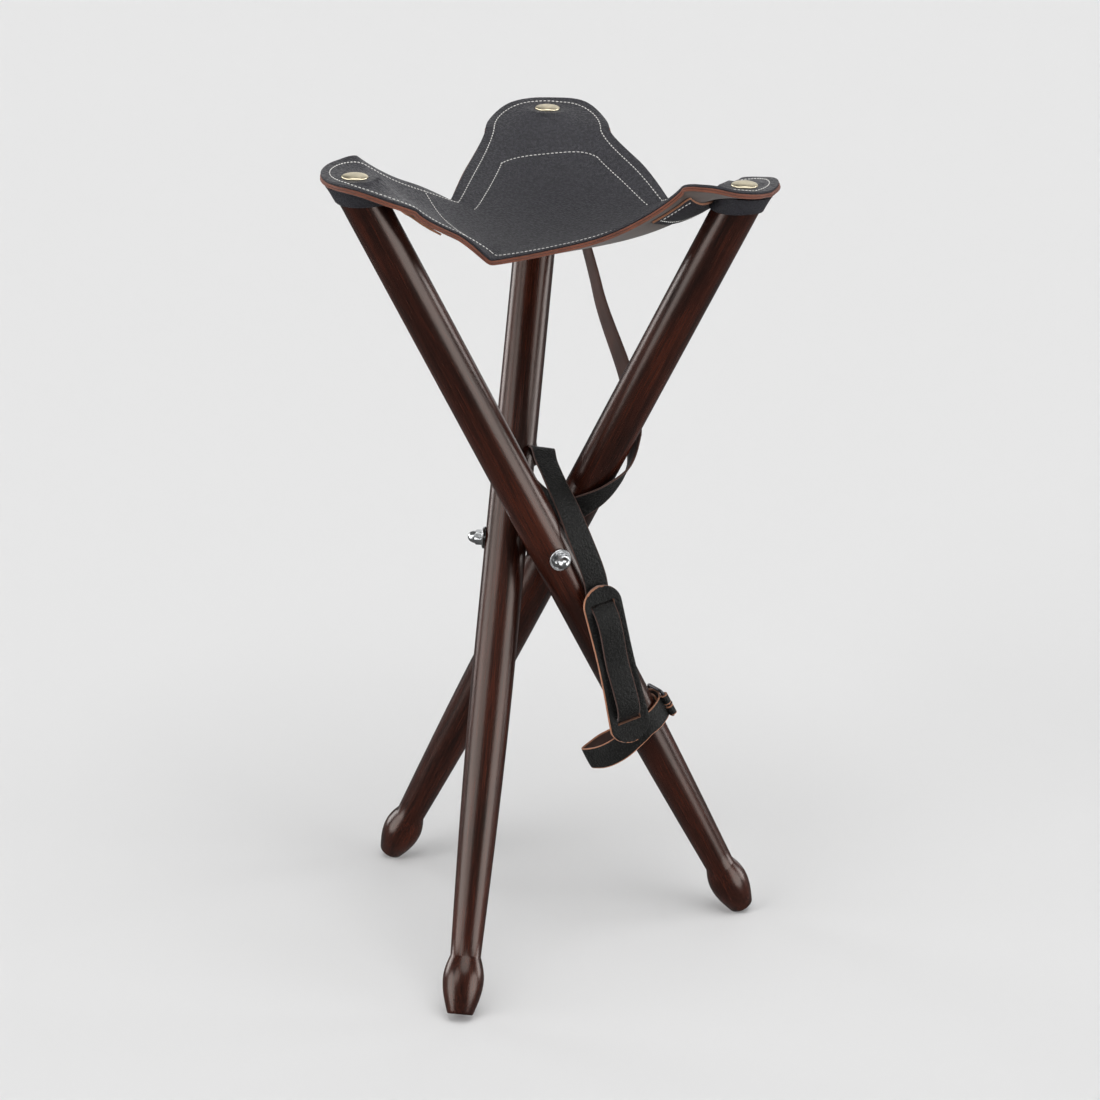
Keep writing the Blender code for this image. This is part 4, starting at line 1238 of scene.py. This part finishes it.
def strap_stretches():
    """The strap's places in order, from the rear pocket to behind the pad, and where its pieces meet."""
    strap = bpy.context.scene.stool_strap
    wood = bpy.context.scene.stool_wood
    pad = pad_frame()
    thick = strap.thickness
    collar = 0.0021
    back = wood.radius + PAD_STANDOFF
    lower_slot = strap.pad_length - LOWER_SLOT_INSET

    def on_pad(down, out):
        return pad @ Vector((out, 0, down)), pad.to_3x3() @ Vector((1, 0, 0))

    sewn = wood.radius + collar + CLEARANCE + thick / 2
    behind = back - thick / 2 - 2 * CLEARANCE
    over = back + strap.pad_thickness + thick / 2 + 2 * CLEARANCE
    through = back + strap.pad_thickness / 2
    rise = SLOT_HEIGHT / 2 + thick / 4
    right = wound_round("right", 0.107, 0.034, (-15, -60, -100, -140, -168), (1.7, 3.1, 1.7, 1, 1))
    rear = wound_round("rear", 0.050, 0.074, (98, 50, 0, -50, -100, -140), (1.4, 1, 1, 1, 1, 1.4))
    apex = free(-0.0070, 0.0560, 0.2050, (0.16, -0.10, 0.98))
    middle = free(0.0847, 0.2342, 0.5361, (0.75, 0.62, 0.15))
    crotch = free(0.0, 0.0028, 0.1016, (0.05, -1.0, 0.1))
    upper = [
        round_leg("rear", LEG_ABOVE - 0.0078, 187, sewn),
        round_leg("rear", LEG_ABOVE - 0.026, 190, sewn + thick / 2),
        middle,
        right[0],
    ]
    rise_up = free(-0.0200, 0.0880, 0.1900, (0.30, 0.26, 0.92))
    drop = [
        apex,
        free(0.0060, 0.0226, 0.1890, (0.46, -0.54, 0.70)),
        free(0.0245, -0.0085, 0.1690, (0.60, -0.64, 0.48)),
        free(0.0415, -0.0310, 0.1476, (0.62, -0.66, 0.42)),
        free(0.0741, -0.0621, 0.1005, (0.58, -0.74, 0.34)),
        free(0.1011, -0.0818, 0.0497, (0.52, -0.81, 0.25)),
        on_pad(-3 * thick, behind),
    ]
    front = [
        on_pad(UPPER_SLOT - rise, behind),
        on_pad(UPPER_SLOT, through),
        on_pad(UPPER_SLOT + rise, over),
        on_pad((UPPER_SLOT + lower_slot) / 2, over + thick / 2),
        on_pad(lower_slot - rise, over),
        on_pad(lower_slot, through),
        on_pad(lower_slot + rise, behind),
        on_pad(strap.pad_length - 3 * thick, behind),
    ]
    marks = {"middle": middle[0], "right": right[0][0], "crotch": crotch[0], "rear": rear[2][0],
             "apex": apex[0], "pad": drop[-1][0]}
    return upper + right[1:] + [crotch] + rear + [rise_up] + drop + front, marks


def loop_places():
    """The loop round the left leg, from under the buckle round the back and front to its outer end."""
    strap = bpy.context.scene.stool_strap
    wood = bpy.context.scene.stool_wood
    near = wood.radius + strap.thickness / 2 + LOOP_PLAY
    over = near + LOOP_LAP
    spots = [(0, 76, near), (0.001, 100, near), (0.005, 130, near), (0.012, 175, near),
             (0.017, 215, near + 0.008), (0.019, 236, LOOP_REACH - 0.010), (*LOOP_FAR, LOOP_REACH),
             (0.0185, 255, LOOP_REACH - 0.008), (0.011, 285, near + 0.012), (0.004, 322, near + 0.0008),
             (0.0005, 350, near), (0, 378, near), (0, 404, near + 0.0006), (0, 430, near + 0.7 * LOOP_LAP),
             (0, 455, over), (0, 480, over), (0, 506, over), (0.001, 530, over + 0.0004)]
    return [round_leg("left", -BUCKLE_DOWN - below, angle, radius) for below, angle, radius in spots]


class STOOL_OT_strap(Operator):
    """Winds the carrying strap from the rear pocket round the legs and through the pad, and its loop"""
    bl_idname = "stool.strap"
    bl_label = "Carrying strap"

    def execute(self, context):
        strap = context.scene.stool_strap
        places, marks = strap_stretches()
        route = smooth_route(places)
        rings = ribbon(route, strap.width, strap.thickness)
        points = [point for point, _ in route]
        stops = [0] + [points.index(spot) for spot in marks.values()] + [len(points) - 1]
        bodies = [("rear_leg", "hub"), ("hub", "right_leg"), ("right_leg", "hub"), ("hub", "rear_leg"),
                  ("rear_leg", "hub"), ("hub", "left_leg"), ("left_leg", None)]
        names = ["strap_from_pocket", "strap_to_right_leg", "strap_off_right_leg", "strap_to_rear_leg",
                 "strap_off_rear_leg", "strap_to_pad", "strap_over_pad"]
        nodes = ["strap_upper", "strap_upper", "strap_wrap", "strap_wrap", "strap_wrap", "strap_drop",
                 "strap_front"]
        for name, node, first, last, (start, end) in zip(names, nodes, stops, stops[1:], bodies):
            obj = strap_piece(name, rings[first:last + 1])
            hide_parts(node)
            if end:
                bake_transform(obj)
            else:
                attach(obj, start)
        rings = ribbon(smooth_route(loop_places()), strap.width, strap.thickness)
        loop = strap_piece("strap_leg_loop", rings, "tan_edge")
        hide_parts("strap_loop")
        axis = leg_frame("left") @ Vector((0, 0, -BUCKLE_DOWN))
        below, angle = LOOP_FAR
        tip = round_leg("left", -BUCKLE_DOWN - below, angle, 1.0)[0]
        reach = (tip - axis).normalized()
        axis + 0.020 * reach
        axis + 0.100 * reach
        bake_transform(loop)
        return {"FINISHED"}


class STOOL_OT_pad(Operator):
    """Cuts the shoulder pad: a waisted plate with two slots, turned up at its long edges"""
    bl_idname = "stool.pad"
    bl_label = "Shoulder pad"

    def execute(self, context):
        strap = context.scene.stool_strap
        wood = context.scene.stool_wood
        place = pad_frame()
        back = wood.radius + PAD_STANDOFF
        slot_half = strap.width / 2 + 0.0001
        lower_slot = strap.pad_length - LOWER_SLOT_INSET
        rise = SLOT_HEIGHT / 2
        slots = [(middle - rise, middle + rise) for middle in (UPPER_SLOT, lower_slot)]
        levels = self.levels(strap, slots)
        inner = [-1.0, -0.6, -0.2, 0.2, 0.6, 1.0]
        outer = [1.0, 0.95, 0.88, 0.78]
        easing = 0.0007
        rim_width = 0.0007
        verts, faces, picks, spots = [], [], [], []
        count = 2 * len(outer) + len(inner)
        in_slot = range(len(outer), len(outer) + len(inner) - 1)
        for face in (0, 1):
            for level in levels:
                half = self.half_width(strap, level)
                reach = min(slot_half, 0.70 * half)
                ys = [-share * half for share in outer] + [share * reach for share in inner]
                ys += [share * half for share in outer[::-1]]
                for y in ys:
                    share = abs(y) / max(half, 1e-6)
                    lift = PAD_CURL * share ** 4 * sin(pi * level / strap.pad_length) ** 0.5
                    ease = easing * (share > 0.94) + easing * (share > 0.99)
                    out = back + lift + (strap.pad_thickness - ease if face else ease)
                    verts.append(place @ Vector((out, y, level)))
                    spots.append(y)
        rows = len(levels)
        base = rows * count
        solid = {}
        for i in range(rows - 1):
            middle = (levels[i] + levels[i + 1]) / 2
            holed = any(low < middle < high for low, high in slots)
            for j in range(count - 1):
                solid[i, j] = not (holed and j in in_slot)
        for (i, j), kept in solid.items():
            if not kept:
                continue
            middle = (levels[i] + levels[i + 1]) / 2
            a, b = i * count + j, i * count + j + 1
            c, d = b + count, a + count
            faces += [(a, b, c, d), (base + d, base + c, base + b, base + a)]
            y = sum(spots[k] for k in (a, b, c, d)) / 4
            tan_rim = y > -0.004 and self.from_outline(strap, y, middle) < rim_width
            picks += [2, 1 if tan_rim else 0]
            beside = ((i - 1, j), (i, j + 1), (i + 1, j), (i, j - 1))
            for one, other, next_to in zip((a, b, c, d), (b, c, d, a), beside):
                if not solid.get(next_to, False):
                    faces.append((one, other, base + other, base + one))
                    picks.append(1)
        finishes = ["strap_leather", "tan_edge", "strap_suede"]
        obj = piece("waisted_shoulder_pad", verts, faces, finishes, picks, crease=55)
        settle(obj, "left_leg", "shoulder_pad")
        return {"FINISHED"}

    def half_width(self, strap, level):
        """Half the pad's width at a distance from its top: round ends and a slight waist."""
        share = level / strap.pad_length
        top, bottom = strap.pad_top / 2, strap.pad_bottom / 2
        side = top + (bottom - top) * share
        side -= ((top + bottom) / 2 - strap.pad_waist / 2) * sin(pi * share) ** 2
        for radius, reach in ((top, level), (bottom, strap.pad_length - level)):
            if reach < radius:
                side = min(side, sqrt(max(0.0, radius ** 2 - (radius - reach) ** 2)))
        return side

    def from_outline(self, strap, y, level):
        """How far a place on the pad is from its cut edge."""
        step = 0.0002
        rise = self.half_width(strap, level + step) - self.half_width(strap, level - step)
        slope = rise / (2 * step)
        return (self.half_width(strap, level) - abs(y)) / sqrt(1 + slope ** 2)

    def levels(self, strap, slots):
        """Distances from the pad's top for the rows of its mesh, closer together at its round ends."""
        end = 0.0165
        low, high = end, strap.pad_length - end
        end_rows, side_rows = 10, 26
        near = 0.0009
        ends = [low * (1 - cos(pi / 2 * i / end_rows)) for i in range(end_rows)]
        rows = set(ends) | {strap.pad_length - value for value in ends}
        rows |= {low + (high - low) * i / side_rows for i in range(side_rows + 1)}
        for top, bottom in slots:
            rows = {value for value in rows if min(abs(value - top), abs(value - bottom)) > near}
            rows |= {top, bottom}
        return sorted(rows)


def wire(path, radius):
    """Rings of a round wire along a closed path of points across X."""
    ahead = Vector((1, 0, 0))
    rings = []
    for i, spot in enumerate(path):
        along = (path[(i + 1) % len(path)] - path[i - 1]).normalized()
        rings.append(ring_round(spot, ahead.cross(along).normalized(), ahead, radius))
    return rings


class STOOL_OT_buckle(Operator):
    """Makes the loop's buckle, its prong and the keeper"""
    bl_idname = "stool.buckle"
    bl_label = "Buckle"

    def execute(self, context):
        strap = context.scene.stool_strap
        wood = context.scene.stool_wood
        gauge, span = 0.0014, 0.024
        near = wood.radius + strap.thickness / 2 + LOOP_PLAY + LOOP_LAP
        on_strap = near + strap.thickness / 2 + CLEARANCE + gauge
        flat = sqrt(on_strap ** 2 - (span / 2) ** 2)
        place = self.on_loop(BUCKLE_ANGLE, flat)
        tall = strap.width + 4 * gauge
        path = [Vector((0, y, z)) for y, z in rounded(span / 2, tall / 2, 3 * gauge, 8)]
        obj = piece("loop_buckle_frame", *stacked(moved(place, wire(path, gauge)), True), ["dark_steel"])
        settle(obj, "left_leg", "buckle_frame")
        self.fold(place, span, gauge, tall)
        self.prong(place, span, gauge)
        self.keeper(strap, near)
        return {"FINISHED"}

    def on_loop(self, angle, outwards):
        """A frame on the loop, turned round the left leg, with X out from the leg's middle line."""
        turned = leg_frame("left") @ Matrix.Rotation(angle, 4, "Z")
        return turned @ Matrix.Translation((outwards, 0, -BUCKLE_DOWN))

    def prong(self, place, span, gauge):
        """The prong, bent a little round the frame's bar and then straight across the frame."""
        thin = 0.0010
        bend, bend_steps = radians(22), 8
        straight_steps = 6
        reach = gauge + thin + CLEARANCE
        path = []
        for i in range(bend_steps + 1):
            turn = pi / 2 + bend * (1 - i / bend_steps)
            path.append(Vector((reach * sin(turn), -span / 2 + reach * cos(turn), 0)))
        for i in range(1, straight_steps + 1):
            path.append(Vector((reach, -span / 2 + (span + gauge) * i / straight_steps, 0)))
        rings = []
        up = Vector((0, 0, 1))
        for i, spot in enumerate(path):
            after = path[min(i + 1, len(path) - 1)]
            along = (after - path[max(i - 1, 0)]).normalized()
            size = thin * (1.0 if i < len(path) - 1 else 0.6)
            rings.append(ring_round(spot, up.cross(along), up, size))
        obj = piece("loop_buckle_prong", *stacked(moved(place, rings)), ["dark_steel"])
        settle(obj, "buckle_prong", "buckle_prong")

    def fold(self, place, span, gauge, tall):
        """The strap's end folded round the frame's bar, cut away in the middle for the prong."""
        thick = 0.0016
        rim = 0.0006
        inner = gauge + CLEARANCE
        slot = 0.0014
        steps = 20
        angles = [radians(-100 + 300 * i / steps) for i in range(steps + 1)]
        section = []
        for radius, turns in ((inner + thick, angles), (inner, angles[::-1])):
            for turn in turns:
                section.append((radius * sin(turn), -span / 2 - radius * cos(turn)))
        far = tall / 2 - 2 * gauge
        for name, low, high in (("upper", slot, far), ("lower", -far, -slot)):
            rings = [[(x, y, level) for x, y in section] for level in (low, low + rim, high - rim, high)]
            edge = [1] * len(section)
            faced = [0] * steps + [1] + [2] * steps + [1]
            picks = edge + faced + edge + [1, 1]
            finishes = ["strap_leather", "tan_edge", "strap_suede"]
            obj = piece(f"loop_{name}_fold", *stacked(moved(place, rings)), finishes, picks, crease=40)
            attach(obj, "left_leg")

    def keeper(self, strap, near):
        """A leather band round the loop's outer end."""
        place = self.on_loop(KEEPER_ANGLE, near + 0.0004)
        inner = (strap.thickness / 2 + 0.0010, strap.width / 2 + 0.0020)
        wall, half, ease = 0.0010, 0.004, 0.0004
        rings = []
        section = ((0, -half), (0.6, -half), (1.0, ease - half), (1.0, half - ease), (0.6, half), (0, half))
        for grow, along in section:
            out, up = inner[0] + grow * wall, inner[1] + grow * wall
            corner = 0.0008 + 0.5 * grow * wall
            rings.append([(x, along, z) for x, z in rounded(out, up, corner, 4)])
        verts, faces = stacked(moved(place, rings), True)
        obj = piece("loop_keeper", verts, faces, ["strap_leather"])
        settle(obj, "left_leg", "strap_keeper")


class STOOL_OT_stage(Operator):
    """Sets the floor, the soft studio lights and the camera"""
    bl_idname = "stool.stage"
    bl_label = "Stage"

    def execute(self, context):
        scene = context.scene
        self.floor()
        world = bpy.data.worlds.new("studio")
        world.use_nodes = True
        back = world.node_tree.nodes["Background"]
        back.inputs["Color"].default_value = (1.0, 1.0, 1.0, 1.0)
        back.inputs["Strength"].default_value = 0.13
        scene.world = world
        scene.view_settings.view_transform = "Standard"
        self.light("top_light", (0.15, -0.35, 1.0), 50, 1.55)
        self.light("front_light", (-0.50, -0.68, 0.53), 30, 0.60)
        self.light("left_light", (-0.86, -0.45, 0.06), 46, 1.95)
        self.light("right_light", (0.93, -0.33, 0.06), 46, 1.95)
        self.light("left_rim_light", (-0.88, 0.40, 0.14), 26, 0.80)
        self.light("right_rim_light", (0.88, 0.40, 0.14), 26, 0.80)
        self.light("back_light", (0.10, 0.95, 0.35), 60, 0.55)
        self.camera(scene)
        return {"FINISHED"}

    def floor(self):
        """A wide round floor that curves up far away; the legs don't mirror it and it blocks no light."""
        profile = ((0.5, 0), (2, 0), (8, 0), (20, 0), (26, 0.8), (31, 3), (34.5, 6.5), (36.5, 11), (37.2, 16))
        sides = 48
        below_feet = 0.0001
        rings = [circle(radius, height - below_feet, sides) for radius, height in profile]
        verts = [(0, 0, -below_feet)] + [point for ring in rings for point in ring]
        faces = []
        for j in range(sides):
            k = (j + 1) % sides
            faces.append((0, 1 + j, 1 + k))
            for i in range(len(rings) - 1):
                low, high = 1 + sides * i, 1 + sides * (i + 1)
                faces.append((low + j, high + j, high + k, low + k))
        floor = piece("studio_floor", verts, faces, ["painted_floor"])
        floor.visible_glossy = False
        floor.visible_shadow = False

    def light(self, name, towards, width, power):
        """A soft light far away in a direction, as wide as the given angle in degrees."""
        lamp = bpy.data.lights.new(name, "SUN")
        lamp.angle = radians(width)
        lamp.energy = power
        obj = bpy.data.objects.new(name, lamp)
        obj.rotation_euler = (-Vector(towards)).to_track_quat("-Z", "Y").to_euler()
        bpy.context.scene.collection.objects.link(obj)

    def camera(self, scene):
        """The photograph's viewpoint: its turn, height, distance and slight roll."""
        turn, rise, roll = radians(8.47), radians(19.67), radians(1.41)
        aim_below_hub, aim_right, distance = 0.00697, 0.00833, 2.7865
        back = Vector((sin(turn) * cos(rise), -cos(turn) * cos(rise), sin(rise)))
        right = Vector((cos(turn), sin(turn), 0))
        up = back.cross(right)
        spot = HUB - Vector((0, 0, aim_below_hub)) + aim_right * right + distance * back
        level = cos(roll) * right + sin(roll) * up
        upright = cos(roll) * up - sin(roll) * right
        lens = bpy.data.cameras.new("photo_camera")
        lens.sensor_width = 36.0
        lens.lens = 1000 * scene.stool_stage.lens
        obj = bpy.data.objects.new("photo_camera", lens)
        obj.matrix_world = Matrix((level, upright, back)).transposed().to_4x4()
        obj.location = spot
        scene.collection.objects.link(obj)
        scene.camera = obj


STEPS = (STOOL_OT_legs, STOOL_OT_hardware, STOOL_OT_seat, STOOL_OT_pockets, STOOL_OT_nails,
         STOOL_OT_stitches, STOOL_OT_strap, STOOL_OT_pad, STOOL_OT_buckle, STOOL_OT_stage)
GROUPS = {"stool_wood": StoolWood, "stool_leather": StoolLeather, "stool_strap": StoolStrap,
          "stool_metal": StoolMetal, "stool_stage": StoolStage}


class STOOL_PT_pieces(Panel):
    bl_idname = "STOOL_PT_pieces"
    bl_label = "Folding tripod stool"
    bl_space_type = "VIEW_3D"
    bl_region_type = "UI"
    bl_category = "Stool"

    def draw(self, context):
        for name, group in GROUPS.items():
            box = self.layout.box()
            for key in group.__annotations__:
                box.prop(getattr(context.scene, name), key)
        for step in STEPS:
            self.layout.operator(step.bl_idname)


CLASSES = (*GROUPS.values(), *STEPS, STOOL_PT_pieces)


def register():
    for kind in CLASSES:
        bpy.utils.register_class(kind)
    for name, group in GROUPS.items():
        setattr(bpy.types.Scene, name, PointerProperty(type=group))


def unregister():
    for name in GROUPS:
        delattr(bpy.types.Scene, name)
    for kind in reversed(CLASSES):
        bpy.utils.unregister_class(kind)


def main():
    register()
    bpy.ops.stool.stage()
    bpy.ops.stool.legs()
    bpy.ops.stool.hardware()
    bpy.ops.stool.seat()
    bpy.ops.stool.pockets()
    bpy.ops.stool.nails()
    bpy.ops.stool.stitches()
    bpy.ops.stool.strap()
    bpy.ops.stool.pad()
    bpy.ops.stool.buckle()


if __name__ == "__main__":
    main()
